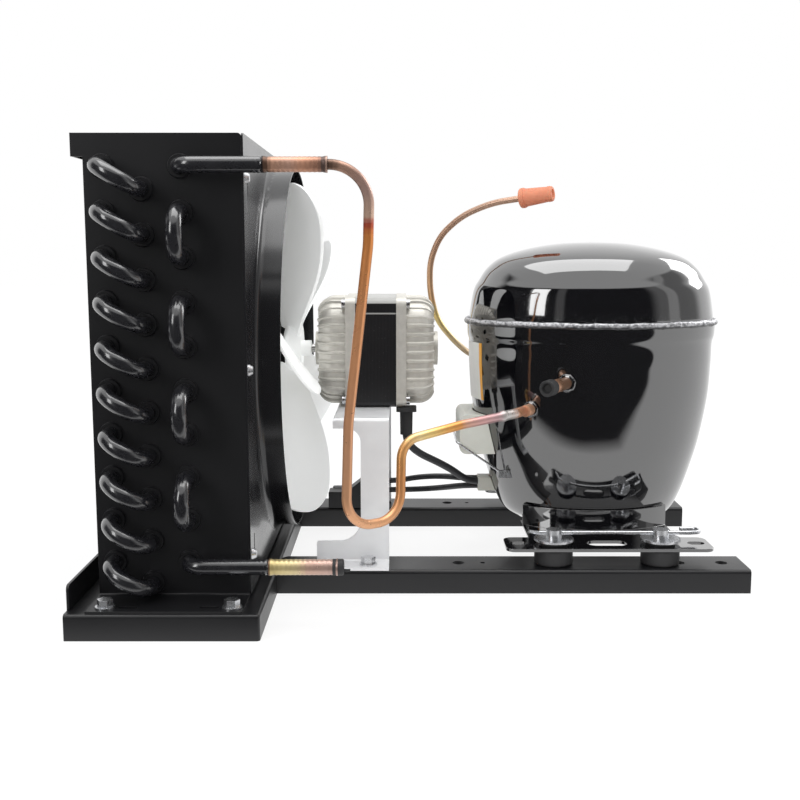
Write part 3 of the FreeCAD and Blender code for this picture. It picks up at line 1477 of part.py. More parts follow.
def build():
    """Makes every piece and writes its file."""
    os.makedirs("parts", exist_ok=True)
    shield = motor_front_shield()
    front_plate = front_end_plate()
    near_rail = front_rail()
    foot = front_foot_plate()
    clip = front_wire_clip()
    write("condenser_tray", condenser_tray())
    write("front_rail", near_rail)
    write("rear_rail", mirrored(near_rail))
    write("rail_rivets", rail_rivets())
    write("front_end_plate", front_plate)
    write("rear_end_plate", mirrored(front_plate))
    write("end_plate_bolts", end_plate_bolts())
    write("coil_top_cover", coil_top_cover())
    write("fin_pack", fin_pack())
    write("hairpin_tubes", hairpin_tubes())
    write("return_bends", group(slanted_return_bends() + upright_return_bends()))
    write("inlet_pipe", header_pipe(top_tube_z))
    write("inlet_connector", inlet_connector())
    write("outlet_pipe", header_pipe(bottom_tube_z))
    write("outlet_connector", outlet_connector())
    write("outlet_cap", outlet_cap())
    write("fan_shroud", fan_shroud())
    write("shroud_screws", shroud_screws())
    write("fan_impeller", fan_impeller())
    write("fan_nut", fan_screw())
    write("fan_shaft", fan_shaft())
    write("motor_rotor", motor_rotor())
    write("motor_bearings", motor_bearings())
    write("motor_stator", motor_stator())
    write("motor_windings", motor_windings())
    write("motor_front_shield", shield)
    write("motor_rear_shield", motor_rear_shield(shield))
    write("motor_screws", motor_screws())
    write("motor_bracket", motor_bracket())
    write("bracket_bolts", bracket_bolts())
    write("motor_cable_boot", motor_cable_boot())
    write("junction_block", junction_block())
    write("compressor_lower_shell", compressor_lower_shell())
    write("compressor_upper_shell", compressor_upper_shell())
    write("compressor_weld_bead", compressor_weld_bead())
    write("front_foot_plate", foot)
    write("rear_foot_plate", mirrored(foot))
    write("grommets", grommets())
    write("foot_studs", foot_studs())
    write("foot_washers", foot_washers())
    write("wire_clips", group([clip, mirrored(clip)]))
    write("suction_stub", suction_stub())
    write("suction_plug", suction_plug())
    write("discharge_stub", discharge_stub())
    write("discharge_line", discharge_line())
    write("process_tube", process_tube())
    write("process_plug", process_plug())
    write("terminal_cover", terminal_cover())
    write("start_relay", start_relay())
    write("cover_bail", cover_bail())
    write("bail_eyelets", bail_eyelets())
    write("lead_clip", lead_clip())
    write("motor_lead", motor_lead())
    write("box_lead_upper", box_lead_upper())
    write("box_lead_lower", box_lead_lower())
    write("suspension_springs", suspension_springs())
    write("pump_stator", pump_stator())
    write("pump_rotor", pump_rotor())
    write("pump_block", pump_block())
    write("pump_piston", pump_piston())


build()
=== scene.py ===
import json
import math
import bmesh
import bpy
import numpy as np
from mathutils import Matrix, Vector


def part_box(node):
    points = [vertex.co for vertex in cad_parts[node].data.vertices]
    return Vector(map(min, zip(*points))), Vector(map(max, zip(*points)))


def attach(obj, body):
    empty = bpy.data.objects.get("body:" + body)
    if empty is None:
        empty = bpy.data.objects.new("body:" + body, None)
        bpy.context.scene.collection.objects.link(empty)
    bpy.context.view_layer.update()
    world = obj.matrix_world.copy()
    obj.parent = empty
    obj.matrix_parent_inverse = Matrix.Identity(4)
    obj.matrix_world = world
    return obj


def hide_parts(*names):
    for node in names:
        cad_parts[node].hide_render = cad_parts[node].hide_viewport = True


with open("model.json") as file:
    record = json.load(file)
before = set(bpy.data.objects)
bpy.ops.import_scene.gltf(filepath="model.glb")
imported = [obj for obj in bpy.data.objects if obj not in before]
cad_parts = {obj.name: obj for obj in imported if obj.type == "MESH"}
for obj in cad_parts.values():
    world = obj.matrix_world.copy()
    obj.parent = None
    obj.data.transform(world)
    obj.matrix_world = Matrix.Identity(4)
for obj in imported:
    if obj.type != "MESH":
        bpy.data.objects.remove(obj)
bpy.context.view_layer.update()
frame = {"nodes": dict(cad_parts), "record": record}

mm = 0.001
record = frame["record"]
bodyOf = {node: body for body, nodes in record["behaviour"]["bodies"].items() for node in nodes}
slotOf = {entry["node"]: entry["material_slot"] for entry in record["subparts"]}
fanJoint = [joint for joint in record["behaviour"]["joints"] if joint["name"] == "fan_spin"][0]
fanAxis = fanJoint["pos_m"][2]


# camera, fitted to the photograph

def makeCamera():
    look = {"place": (-17.9 * mm, -768.1 * mm, 218.2 * mm), "pitch": 7.9, "sensor": 36.0,
            "focal": 48.16, "far": 20.0}
    data = bpy.data.cameras.new("photoCamera")
    data.sensor_width = look["sensor"]
    data.lens = look["focal"]
    data.clip_end = look["far"]
    camera = bpy.data.objects.new("photoCamera", data)
    camera.location = look["place"]
    camera.rotation_euler = (math.radians(90.0 - look["pitch"]), 0.0, 0.0)
    bpy.context.scene.collection.objects.link(camera)
    bpy.context.scene.camera = camera


makeCamera()
print("camera set")


# shader maths

class Knob:
    # one output socket of a material, so that sums on it read as plain maths
    def __init__(self, tree, out):
        self.tree = tree
        self.out = out

    def node(self, kind, settings, sockets, out=0):
        made = self.tree.nodes.new(kind)
        for key, value in settings.items():
            if key == "stops":
                stops = made.color_ramp.elements
                while len(stops) < len(value):
                    stops.new(0.5)
                for stop, (position, colour) in zip(stops, value):
                    stop.position = position
                    stop.color = colour
            else:
                setattr(made, key, value)
        for key, value in sockets.items():
            if isinstance(value, Knob):
                self.tree.links.new(value.out, made.inputs[key])
            else:
                made.inputs[key].default_value = value
        return Knob(self.tree, made.outputs[out])

    def maths(self, operation, first, second=0.0):
        return self.node("ShaderNodeMath", {"operation": operation}, {0: first, 1: second})

    def __add__(self, other):
        return self.maths("ADD", self, other)

    def __radd__(self, other):
        return self.maths("ADD", other, self)

    def __sub__(self, other):
        return self.maths("SUBTRACT", self, other)

    def __rsub__(self, other):
        return self.maths("SUBTRACT", other, self)

    def __mul__(self, other):
        return self.maths("MULTIPLY", self, other)

    def __rmul__(self, other):
        return self.maths("MULTIPLY", other, self)


class Finish:
    # a material with one Principled shader, fed by Knobs
    def __init__(self, name, fixed):
        self.material = bpy.data.materials.new(name)
        self.material.use_nodes = True
        self.tree = self.material.node_tree
        self.shader = self.tree.nodes["Principled BSDF"]
        for socket, value in fixed.items():
            self.shader.inputs[socket].default_value = value
        coordinates = self.tree.nodes.new("ShaderNodeTexCoord")
        self.place = Knob(self.tree, coordinates.outputs["Object"])

    def feed(self, socket, knob):
        self.tree.links.new(knob.out, self.shader.inputs[socket])

    def dressed(self, colour, sheen, relief=None):
        # sheen is a pattern and the roughness at its low and high parts;
        # relief is a height pattern, a strength and a distance
        self.feed("Base Color", colour)
        self.feed("Roughness", self.between(sheen[0], 0.3, 0.7, *sheen[1:]))
        if relief:
            self.feed("Normal", self.bump(*relief))
        return self.material

    def along(self, axis):
        return self.place.node("ShaderNodeSeparateXYZ", {}, {0: self.place}, axis)

    def stretched(self, scale):
        return self.place.node("ShaderNodeMapping", {}, {"Vector": self.place, "Scale": scale})

    def noise(self, scale, detail=3.0, rough=0.5, vector=None):
        return self.place.node("ShaderNodeTexNoise", {}, {"Vector": vector or self.place, "Scale": scale,
                                                          "Detail": detail, "Roughness": rough})

    def between(self, knob, low, high, start=0.0, end=1.0):
        # straight-line remap of low..high to start..end, held at both ends
        return self.place.node("ShaderNodeMapRange", {}, {0: knob, 1: low, 2: high, 3: start, 4: end})

    def colour(self, factor, first, second):
        return self.place.node("ShaderNodeMix", {"data_type": "RGBA"}, {0: factor, 6: first, 7: second}, 2)

    def ramp(self, knob, stops):
        return self.place.node("ShaderNodeValToRGB", {"stops": stops}, {0: knob})

    def bump(self, height, strength, distance):
        return self.place.node("ShaderNodeBump", {}, {"Height": height, "Strength": strength,
                                                      "Distance": distance})


def rgb(red, green, blue):
    return (red, green, blue, 1.0)


def satinBlack():
    # powder-coated sheet: fine orange peel, faint dust, slightly uneven sheen
    look = {"dark": rgb(0.006, 0.006, 0.007), "light": rgb(0.013, 0.013, 0.015), "peel": 1900.0,
            "sheen": (0.30, 0.44)}
    paint = Finish("satinBlack", {"Specular IOR Level": 0.55})
    patches = paint.noise(9.0, 4.0)
    specks = paint.between(paint.noise(2600.0, 1.0), 0.66, 0.74)
    return paint.dressed(paint.colour(patches * 0.7 + specks * 0.25, look["dark"], look["light"]),
                         (patches, *look["sheen"]), (paint.noise(look["peel"], 2.0), 0.10, 0.0003))


def shroudBlack():
    # smoother coat on the fan shroud, which mirrors the pale backdrop softly
    look = {"dark": rgb(0.006, 0.006, 0.007), "light": rgb(0.014, 0.014, 0.016)}
    paint = Finish("shroudBlack", {"Specular IOR Level": 0.8})
    patches = paint.noise(14.0, 3.0)
    return paint.dressed(paint.colour(patches, look["dark"], look["light"]),
                         (patches, 0.14, 0.22), (paint.noise(1500.0, 2.0), 0.06, 0.0002))


def glossBlackTube():
    # thick dipped black on the tubes, with soft runs
    look = {"dark": rgb(0.007, 0.007, 0.009), "light": rgb(0.016, 0.016, 0.019)}
    paint = Finish("glossBlackTube", {"Coat Weight": 0.8, "Coat Roughness": 0.14, "Coat IOR": 1.9})
    runs = paint.noise(120.0, 3.0)
    return paint.dressed(paint.colour(runs, look["dark"], look["light"]),
                         (runs, 0.20, 0.34), (paint.noise(260.0, 2.0), 0.12, 0.0004))


def shellBlack():
    # deep gloss enamel whose shallow ripple bends the reflections; weld spatter sits just above the seam
    look = {"dark": rgb(0.0025, 0.0025, 0.0032), "light": rgb(0.006, 0.006, 0.008),
            "spatter": rgb(0.30, 0.30, 0.31), "seam": 0.168}
    paint = Finish("shellBlack", {"Coat Weight": 1.0, "Coat Roughness": 0.02, "Coat IOR": 2.1,
                                  "Specular IOR Level": 1.0})
    dust = paint.between(paint.noise(1700.0, 1.0), 0.69, 0.76)
    plain = paint.colour(paint.noise(60.0, 4.0) * 0.6 + dust * 0.5, look["dark"], look["light"])
    nearSeam = paint.between(paint.along(2), look["seam"] + 0.013, look["seam"] + 0.001)
    above = paint.between(paint.along(2), look["seam"] - 0.0005, look["seam"] + 0.0005)
    specks = paint.between(paint.noise(1500.0, 2.0) + nearSeam * 0.10, 0.70, 0.74) * above * nearSeam
    paint.feed("Base Color", paint.colour(specks * 0.8, plain, look["spatter"]))
    paint.feed("Roughness", paint.between(paint.noise(40.0, 3.0), 0.3, 0.7, 0.05, 0.10) + specks * 0.3)
    ripple = paint.noise(15.0, 2.0) + paint.noise(34.0, 1.0) * 0.25 + paint.noise(420.0, 2.0) * 0.01
    paint.feed("Normal", paint.bump(ripple, 0.45, 0.0026))
    return paint.material


def weldBead():
    # pale lumpy bead on top of the seam, enamelled black on its lower side
    look = {"seam": 0.1695, "pale": rgb(0.62, 0.62, 0.64), "dim": rgb(0.20, 0.20, 0.21),
            "black": rgb(0.006, 0.006, 0.008)}
    paint = Finish("weldBead", {"Specular IOR Level": 0.8})
    lumps = paint.noise(520.0, 4.0, 0.6)
    height = paint.along(2) + (paint.noise(240.0, 3.0) - 0.5) * 0.0022
    bare = paint.between(height, look["seam"] - 0.0010, look["seam"] + 0.0003)
    metal = paint.colour(paint.between(lumps, 0.40, 0.56), look["dim"], look["pale"])
    paint.feed("Base Color", paint.colour(bare, look["black"], metal))
    paint.feed("Metallic", bare * 0.5)
    paint.feed("Roughness", paint.between(bare, 0.0, 1.0, 0.10, 0.34))
    paint.feed("Normal", paint.bump(lumps, 0.35, 0.0009))
    return paint.material


def zincPlate():
    # bright zinc with a faint blue cast and brushed grain
    paint = Finish("zincPlate", {"Metallic": 1.0})
    grain = paint.noise(900.0, 3.0)
    tint = paint.noise(160.0, 2.0)
    return paint.dressed(paint.colour(tint, rgb(0.66, 0.68, 0.72), rgb(0.80, 0.80, 0.80)),
                         (grain, 0.22, 0.38), (grain, 0.08, 0.0002))


def brightSteel():
    # turned steel with rings of fine tool marks about the X axis
    paint = Finish("brightSteel", {"Metallic": 1.0})
    marks = paint.noise(300.0, 2.0, vector=paint.stretched((12.0, 1.0, 1.0)))
    return paint.dressed(paint.colour(marks, rgb(0.50, 0.50, 0.50), rgb(0.68, 0.67, 0.65)),
                         (marks, 0.20, 0.36))


def galvanisedSheet():
    # near-white zinc sheet with large soft spangles
    paint = Finish("galvanisedSheet", {"Metallic": 0.25, "Specular IOR Level": 0.6})
    spangle = paint.noise(110.0, 4.0)
    return paint.dressed(paint.colour(spangle, rgb(0.86, 0.87, 0.89), rgb(0.95, 0.96, 0.97)),
                         (spangle, 0.34, 0.50), (paint.noise(500.0, 2.0), 0.06, 0.0002))


def castAluminium():
    # die-cast skin: mottled warm grey, fine pits
    paint = Finish("castAluminium", {"Metallic": 0.45, "Specular IOR Level": 0.7})
    mottle = paint.noise(240.0, 5.0, 0.6)
    return paint.dressed(paint.colour(mottle, rgb(0.58, 0.56, 0.51), rgb(0.82, 0.80, 0.74)),
                         (mottle, 0.36, 0.52), (paint.noise(1500.0, 3.0), 0.25, 0.0004))


def laminations():
    # black painted stack whose thin sheets show as fine upright lines across X
    paint = Finish("laminations", {"Specular IOR Level": 0.45})
    sheets = paint.place.node("ShaderNodeTexWave", {"bands_direction": "X"},
                              {"Vector": paint.place, "Scale": 320.0, "Distortion": 0.6, "Detail": 1.0}, 1)
    specks = paint.between(paint.noise(800.0, 1.0), 0.70, 0.76)
    black = paint.colour(specks * 0.5 + sheets * 0.15, rgb(0.006, 0.006, 0.008), rgb(0.09, 0.09, 0.09))
    rise = paint.along(2) - fanAxis
    # painted highlights: the stack above 33.5 mm over the axis and a thin band at 26.2 to 27.6 mm are mixed
    # towards light grey, as if lit from above; the paint itself is black
    edge = paint.between(rise, 0.0335, 0.0340)
    line = paint.between(rise, 0.0262, 0.0266) * paint.between(rise, 0.0276, 0.0272)
    return paint.dressed(paint.colour(edge * 0.9 + line * 0.6, black, rgb(0.52, 0.52, 0.50)),
                         (paint.noise(60.0), 0.30, 0.42), (sheets, 0.15, 0.0002))


def windingWire():
    # varnished copper wire wound round the X axis
    paint = Finish("windingWire", {"Coat Weight": 0.4, "Metallic": 0.3})
    turns = paint.place.node("ShaderNodeTexWave", {"wave_type": "RINGS", "rings_direction": "X"},
                             {"Vector": paint.place, "Scale": 500.0}, 1)
    paint.feed("Base Color", paint.colour(turns, rgb(0.20, 0.06, 0.02), rgb(0.52, 0.24, 0.08)))
    paint.feed("Normal", paint.bump(turns, 0.4, 0.0003))
    return paint.material


def blackRubber():
    paint = Finish("blackRubber", {"Specular IOR Level": 0.4})
    bloom = paint.noise(90.0, 4.0)
    return paint.dressed(paint.colour(bloom, rgb(0.016, 0.016, 0.017), rgb(0.045, 0.045, 0.046)),
                         (bloom, 0.48, 0.66), (paint.noise(1400.0, 2.0), 0.15, 0.0003))


def orangeRubber():
    paint = Finish("orangeRubber", {"Specular IOR Level": 0.4, "Subsurface Weight": 0.08})
    bloom = paint.noise(160.0, 4.0)
    return paint.dressed(paint.colour(bloom, rgb(0.60, 0.19, 0.10), rgb(0.74, 0.30, 0.18)),
                         (bloom, 0.50, 0.64), (paint.noise(1200.0, 2.0), 0.15, 0.0003))


def blackPlastic():
    paint = Finish("blackPlastic", {"Specular IOR Level": 0.45})
    grain = paint.noise(1100.0, 2.0)
    return paint.dressed(paint.colour(paint.noise(50.0), rgb(0.010, 0.010, 0.011), rgb(0.022, 0.022, 0.024)),
                         (grain, 0.34, 0.50), (grain, 0.15, 0.0003))


def coverPlastic():
    # pale moulded cover, yellowed a little, with soft moulding marks
    paint = Finish("coverPlastic", {"Specular IOR Level": 0.45, "Subsurface Weight": 0.05})
    tone = paint.noise(70.0, 4.0)
    return paint.dressed(paint.colour(tone, rgb(0.60, 0.59, 0.52), rgb(0.76, 0.75, 0.69)),
                         (tone, 0.38, 0.50), (paint.noise(700.0, 2.0), 0.08, 0.0003))


def fanPlastic():
    # white moulding, cool and slightly see-through at its thin edges
    # the weak emission stands for the light that shines through it
    paint = Finish("fanPlastic", {"Specular IOR Level": 0.45, "Subsurface Weight": 0.3,
                                  "Subsurface Scale": 0.006, "Subsurface Radius": (1.0, 1.0, 1.0),
                                  "Emission Color": rgb(0.93, 0.94, 0.91), "Emission Strength": 0.24})
    tone = paint.noise(30.0, 3.0)
    return paint.dressed(paint.colour(tone, rgb(0.88, 0.90, 0.91), rgb(0.93, 0.94, 0.95)),
                         (tone, 0.34, 0.46), (paint.noise(600.0, 2.0), 0.05, 0.0003))


def leadSheath():
    paint = Finish("leadSheath", {"Specular IOR Level": 0.5})
    scuff = paint.noise(220.0, 4.0)
    return paint.dressed(paint.colour(scuff, rgb(0.014, 0.014, 0.016), rgb(0.045, 0.046, 0.050)),
                         (scuff, 0.36, 0.50), (paint.noise(1000.0, 2.0), 0.10, 0.0003))


def finBlack():
    # thin aluminium plates sprayed black, the metal showing faintly
    paint = Finish("finBlack", {"Metallic": 0.3})
    spray = paint.noise(150.0, 4.0)
    return paint.dressed(paint.colour(spray, rgb(0.012, 0.012, 0.013), rgb(0.045, 0.045, 0.047)),
                         (spray, 0.40, 0.58))


def castIron():
    paint = Finish("castIron", {"Metallic": 0.7})
    skin = paint.noise(500.0, 5.0)
    return paint.dressed(paint.colour(skin, rgb(0.10, 0.10, 0.10), rgb(0.26, 0.26, 0.26)),
                         (skin, 0.50, 0.68), (skin, 0.3, 0.0004))


def drawnCopper(name, tones=None, metallic=0.62):
    # drawn tube; tones are (share of the length, red, green, blue) along the piece's own "run" map, for the
    # tints that brazing and flame leave, and on the discharge line also for a painted highlight
    look = {"grain": 0.14, "rough": (0.26, 0.38), "wander": 0.022}
    metal = Finish(name, {"Metallic": metallic})
    cloud = metal.noise(110.0, 4.0, 0.55)
    if tones:
        run = metal.place.node("ShaderNodeUVMap", {"uv_map": "run"}, {})
        share = metal.place.node("ShaderNodeSeparateXYZ", {}, {0: run}, 0)
        share = share + (metal.noise(70.0, 3.0) - 0.5) * look["wander"]
        base = metal.ramp(share, [(tone[0], rgb(*tone[1:])) for tone in tones])
    else:
        base = metal.colour(metal.noise(45.0, 2.0), rgb(0.66, 0.36, 0.22), rgb(0.80, 0.47, 0.31))
    haze = metal.colour(cloud, rgb(0.45, 0.38, 0.34), rgb(1.0, 1.0, 1.0))
    dull = metal.place.node("ShaderNodeMix", {"data_type": "RGBA", "blend_type": "MULTIPLY"},
                            {0: look["grain"], 6: base, 7: haze}, 2)
    return metal.dressed(dull,
                         (cloud, *look["rough"]), (metal.noise(800.0, 2.0), 0.03, 0.0001))


finishes = {"frame_black": satinBlack(), "fin_black": finBlack(), "tube_black": glossBlackTube(),
            "gloss_black": shellBlack(), "zinc": zincPlate(), "steel": brightSteel(),
            "cast_aluminium": castAluminium(), "lamination": laminations(), "winding": windingWire(),
            "galvanised": galvanisedSheet(), "black_rubber": blackRubber(), "orange_rubber": orangeRubber(),
            "black_plastic": blackPlastic(), "cover_plastic": coverPlastic(), "fan_white": fanPlastic(),
            "weld": weldBead(), "lead_rubber": leadSheath(), "cast_iron": castIron(),
            "copper": drawnCopper("drawnCopper")}
print("finishes made")


# mesh tools

def putPiece(mesh, name, body, slot, standsFor=None, material=None, smooth=True):
    piece = bpy.data.objects.new(name, mesh)
    bpy.context.scene.collection.objects.link(piece)
    mesh.materials.append(material or finishes[slot])
    if smooth:
        mesh.polygons.foreach_set("use_smooth", np.ones(len(mesh.polygons), dtype=bool))
    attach(piece, body)
    if standsFor:
        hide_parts(standsFor)
    return piece


def gridFaces(rows, columns, closeRows, closeColumns):
    # corner numbers of the quads between neighbouring rows and columns of a grid of points
    row = np.arange(rows if closeRows else rows - 1)[:, None]
    column = np.arange(columns if closeColumns else columns - 1)[None, :]
    nextRow = (row + 1) % rows
    nextColumn = (column + 1) % columns
    quads = np.stack([row * columns + column, nextRow * columns + column,
                      nextRow * columns + nextColumn, row * columns + nextColumn], axis=-1)
    return quads.reshape(-1, 4)


def meshOf(name, points, faces, creaseAngle=None):
    mesh = bpy.data.meshes.new(name)
    mesh.from_pydata(points.reshape(-1, 3).tolist(), [], [list(face) for face in faces])
    tidy = bmesh.new()
    tidy.from_mesh(mesh)
    bmesh.ops.remove_doubles(tidy, verts=tidy.verts, dist=1e-6)
    bmesh.ops.dissolve_degenerate(tidy, edges=tidy.edges, dist=1e-7)
    bmesh.ops.recalc_face_normals(tidy, faces=tidy.faces)
    if creaseAngle is not None:
        for edge in tidy.edges:
            edge.smooth = len(edge.link_faces) < 2 or edge.calc_face_angle(0.0) < creaseAngle
    tidy.to_mesh(mesh)
    tidy.free()
    return mesh


def skinned(name, rings, crease=math.radians(40)):
    # closed skin through equal rings of points, with both ends shut by a fan of triangles
    count, around = rings.shape[:2]
    hubs = [rings[end].mean(axis=0, keepdims=True) for end in (0, -1)]
    flat = np.concatenate([rings.reshape(-1, 3)] + hubs)
    quads = gridFaces(count, around, False, True).tolist()
    turn = np.arange(around)
    ahead = (turn + 1) % around
    first = np.stack([np.full(around, count * around), turn, ahead], axis=-1).tolist()
    base = (count - 1) * around
    last = np.stack([np.full(around, count * around + 1), base + ahead, base + turn], axis=-1).tolist()
    return meshOf(name, flat, quads + first + last, crease)


def turned(name, profile, centre, axis, around):
    # a profile of (distance along the axis, radius) swept a full turn round the axis
    profile = np.array(profile, dtype=float)
    axis = np.array(axis, dtype=float)
    axis = axis / np.linalg.norm(axis)
    helper = np.array([0.0, 0.0, 1.0]) if abs(axis[2]) < 0.9 else np.array([1.0, 0.0, 0.0])
    side = np.cross(axis, helper)
    side = side / np.linalg.norm(side)
    up = np.cross(side, axis)
    angle = np.linspace(0.0, 2.0 * math.pi, around, endpoint=False)
    ring = np.cos(angle)[:, None] * side + np.sin(angle)[:, None] * up
    rings = np.array(centre) + profile[:, None, 0:1] * axis + profile[:, None, 1:2] * ring[None]
    return skinned(name, rings, math.radians(35))


def roundedRoute(points, radii, step=0.0012):
    # straight runs joined by tangent arcs, sampled at about one step; radii are for the inner corners
    points = [np.array(point, dtype=float) for point in points]
    pieces = [points[0][None]]
    for corner, before, after, radius in zip(points[1:-1], points[:-2], points[2:], radii):
        back = (before - corner) / np.linalg.norm(before - corner)
        ahead = (after - corner) / np.linalg.norm(after - corner)
        half = math.acos(float(np.clip(back @ ahead, -1.0, 1.0))) / 2.0
        setback = radius / math.tan(half)
        middle = (back + ahead) / np.linalg.norm(back + ahead)
        hub = corner + middle * radius / math.sin(half)
        sweep = math.pi - 2.0 * half
        share = np.linspace(0.0, 1.0, max(4, int(radius * sweep / step)))[:, None]
        start = corner + back * setback - hub
        end = corner + ahead * setback - hub
        spoke = (np.sin((1.0 - share) * sweep) * start + np.sin(share * sweep) * end) / math.sin(sweep)
        pieces.append(hub + spoke)
    pieces.append(points[-1][None])
    return np.concatenate(pieces)


def routeLength(route):
    return float(np.linalg.norm(np.diff(route, axis=0), axis=1).sum())


def spacedRoute(route, step):
    # the same line with evenly spaced points, by distance along it
    gaps = np.linalg.norm(np.diff(route, axis=0), axis=1)
    far = np.concatenate([[0.0], np.cumsum(gaps)])
    keep = np.concatenate([[True], gaps > 1e-9])
    count = max(3, int(far[-1] / step))
    wanted = np.linspace(0.0, far[-1], count)
    return np.stack([np.interp(wanted, far[keep], route[keep][:, axis]) for axis in range(3)], axis=1), wanted


def pipeMesh(name, route, radius, reference, around=28, step=0.0015):
    # a round skin about a line; radius is a number or a function of the distance along it.
    # the ring's sides come from the line's direction crossed with one fixed reference direction
    line, far = spacedRoute(route, step)
    ahead = np.gradient(line, axis=0)
    ahead = ahead / np.linalg.norm(ahead, axis=1, keepdims=True)
    side = np.cross(ahead, np.array(reference, dtype=float))
    side = side / np.linalg.norm(side, axis=1, keepdims=True)
    up = np.cross(side, ahead)
    angle = np.linspace(0.0, 2.0 * math.pi, around, endpoint=False)[None, :, None]
    size = np.full(len(far), radius) if np.isscalar(radius) else radius(far)
    ring = np.cos(angle) * side[:, None] + np.sin(angle) * up[:, None]
    rings = line[:, None] + size[:, None, None] * ring
    return skinned(name, rings)


def mapRun(mesh, route):
    # the share of the route's length that is nearest to each corner, kept as a map called run
    line, far = spacedRoute(route, 0.002)
    places = np.empty(len(mesh.vertices) * 3)
    mesh.vertices.foreach_get("co", places)
    away = ((places.reshape(-1, 1, 3) - line[None]) ** 2).sum(axis=2)
    share = far[np.argmin(away, axis=1)] / far[-1]
    corner = np.empty(len(mesh.loops), dtype=int)
    mesh.loops.foreach_get("vertex_index", corner)
    layer = mesh.uv_layers.new(name="run")
    layer.data.foreach_set("uv", np.stack([share[corner], np.full(len(corner), 0.5)], axis=1).ravel())


def joinedMeshes(name, meshes):
    # several meshes as one
    whole = bmesh.new()
    for mesh in meshes:
        whole.from_mesh(mesh)
    result = bpy.data.meshes.new(name)
    whole.to_mesh(result)
    whole.free()
    for mesh in meshes:
        bpy.data.meshes.remove(mesh)
    return result


def softenedNode(node, bevel, material=None):
    # a clean copy of a fixed node with rounded edges, standing for that node
    limit = math.radians(28)
    clean = bmesh.new()
    clean.from_mesh(frame["nodes"][node].data)
    bmesh.ops.remove_doubles(clean, verts=clean.verts, dist=2e-6)
    bmesh.ops.dissolve_limit(clean, angle_limit=math.radians(0.6), verts=clean.verts, edges=clean.edges)
    for edge in clean.edges:
        edge.smooth = len(edge.link_faces) < 2 or edge.calc_face_angle(0.0) < limit
    mesh = bpy.data.meshes.new(node + "Skin")
    clean.to_mesh(mesh)
    clean.free()
    piece = putPiece(mesh, node + "Skin", bodyOf[node], slotOf[node], material=material)
    rounding = piece.modifiers.new("edges", "BEVEL")
    rounding.width = bevel
    rounding.segments = 2
    rounding.limit_method = "ANGLE"
    rounding.angle_limit = limit
    rounding.use_clamp_overlap = True
    rounding.harden_normals = True
    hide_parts(node)
    return piece


# leads between motor, junction block and compressor

leads = {
    "motor_lead": {"width": 5.2, "stiffness": "medium",
                   "points": [(-13.5, -31.0, 91.9), (-13.5, -31.0, 82.4), (17.2, -14.0, 65.0),
                              (30.6, -4.6, 53.0), (38.6, -4.6, 53.0)]},
    "box_lead_upper": {"width": 4.4, "stiffness": "medium",
                       "points": [(-28.9, 74.8, 36.0), (-18.9, 74.8, 36.0), (-2.9, 65.8, 41.0),
                                  (14.6, 36.0, 48.0), (29.6, 4.2, 53.2), (38.6, 4.2, 53.2)]},
    "box_lead_lower": {"width": 4.4, "stiffness": "medium",
                       "points": [(-28.9, 74.8, 28.5), (-18.9, 74.8, 28.5), (-0.9, 63.8, 31.5),
                                  (14.6, 31.0, 40.0), (29.6, 0.4, 48.6), (38.6, 0.4, 48.6)]}}


def layLead(node, look):
    # a smooth curve that hangs near its control points, given a round section
    points = np.array(look["points"]) * mm
    line = bpy.data.curves.new(node + "Lead", "CURVE")
    line.dimensions = "3D"
    line.resolution_u = 16
    spline = line.splines.new("NURBS")
    spline.points.add(len(points) - 1)
    spline.points.foreach_set("co", np.concatenate([points, np.ones((len(points), 1))], axis=1).ravel())
    spline.order_u = 3
    spline.use_endpoint_u = True
    line.bevel_depth = look["width"] * mm / 2
    line.bevel_resolution = 6
    line.use_fill_caps = True
    piece = bpy.data.objects.new(node + "Lead", line)
    bpy.context.scene.collection.objects.link(piece)
    line.materials.append(finishes["lead_rubber"])
    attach(piece, bodyOf[node])
    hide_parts(node)
    plain = line.copy()
    plain.bevel_depth = 0.0
    probe = bpy.data.objects.new("probe", plain)
    reach = bpy.data.meshes.new_from_object(probe)
    coordinates = np.empty(len(reach.vertices) * 3)
    reach.vertices.foreach_get("co", coordinates)
    bpy.data.objects.remove(probe)
    bpy.data.curves.remove(plain)
    bpy.data.meshes.remove(reach)


for node, look in leads.items():
    layLead(node, look)
print("leads laid")


# condenser tubes

coil = {"pipe": 9.52, "pitch": 25.4, "around": 28, "stubEnd": 9.0, "rows": 10, "reference": (0.33, 0.2, 0.91)}
tubeRadius = coil["pipe"] * mm / 2
coilLow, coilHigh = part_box("hairpin_tubes")
rowX = np.array([coilLow[0] + tubeRadius, (coilLow[0] + coilHigh[0]) / 2, coilHigh[0] - tubeRadius])
topZ = coilHigh[2] - tubeRadius
halfPitch = coil["pitch"] * mm / 2
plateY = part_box("fan_shroud")[0][1]


def tubeHeight(row, index):
    return topZ - index * 2 * halfPitch - (halfPitch if row == 1 else 0.0)


def uBend(start, across, leg, outward):
    # straight legs and a half circle: centre + cos a * half across + sin a * radius outward
    across = np.array(across)
    radius = np.linalg.norm(across) / 2
    out = np.array([0.0, outward, 0.0])
    start = np.array(start)
    centre = start + across / 2 + out * leg
    angle = np.linspace(0.0, math.pi, 34)[:, None]
    bow = centre - np.cos(angle) * across / 2 + np.sin(angle) * radius * out
    return np.concatenate([start[None], bow, (start + across)[None]])


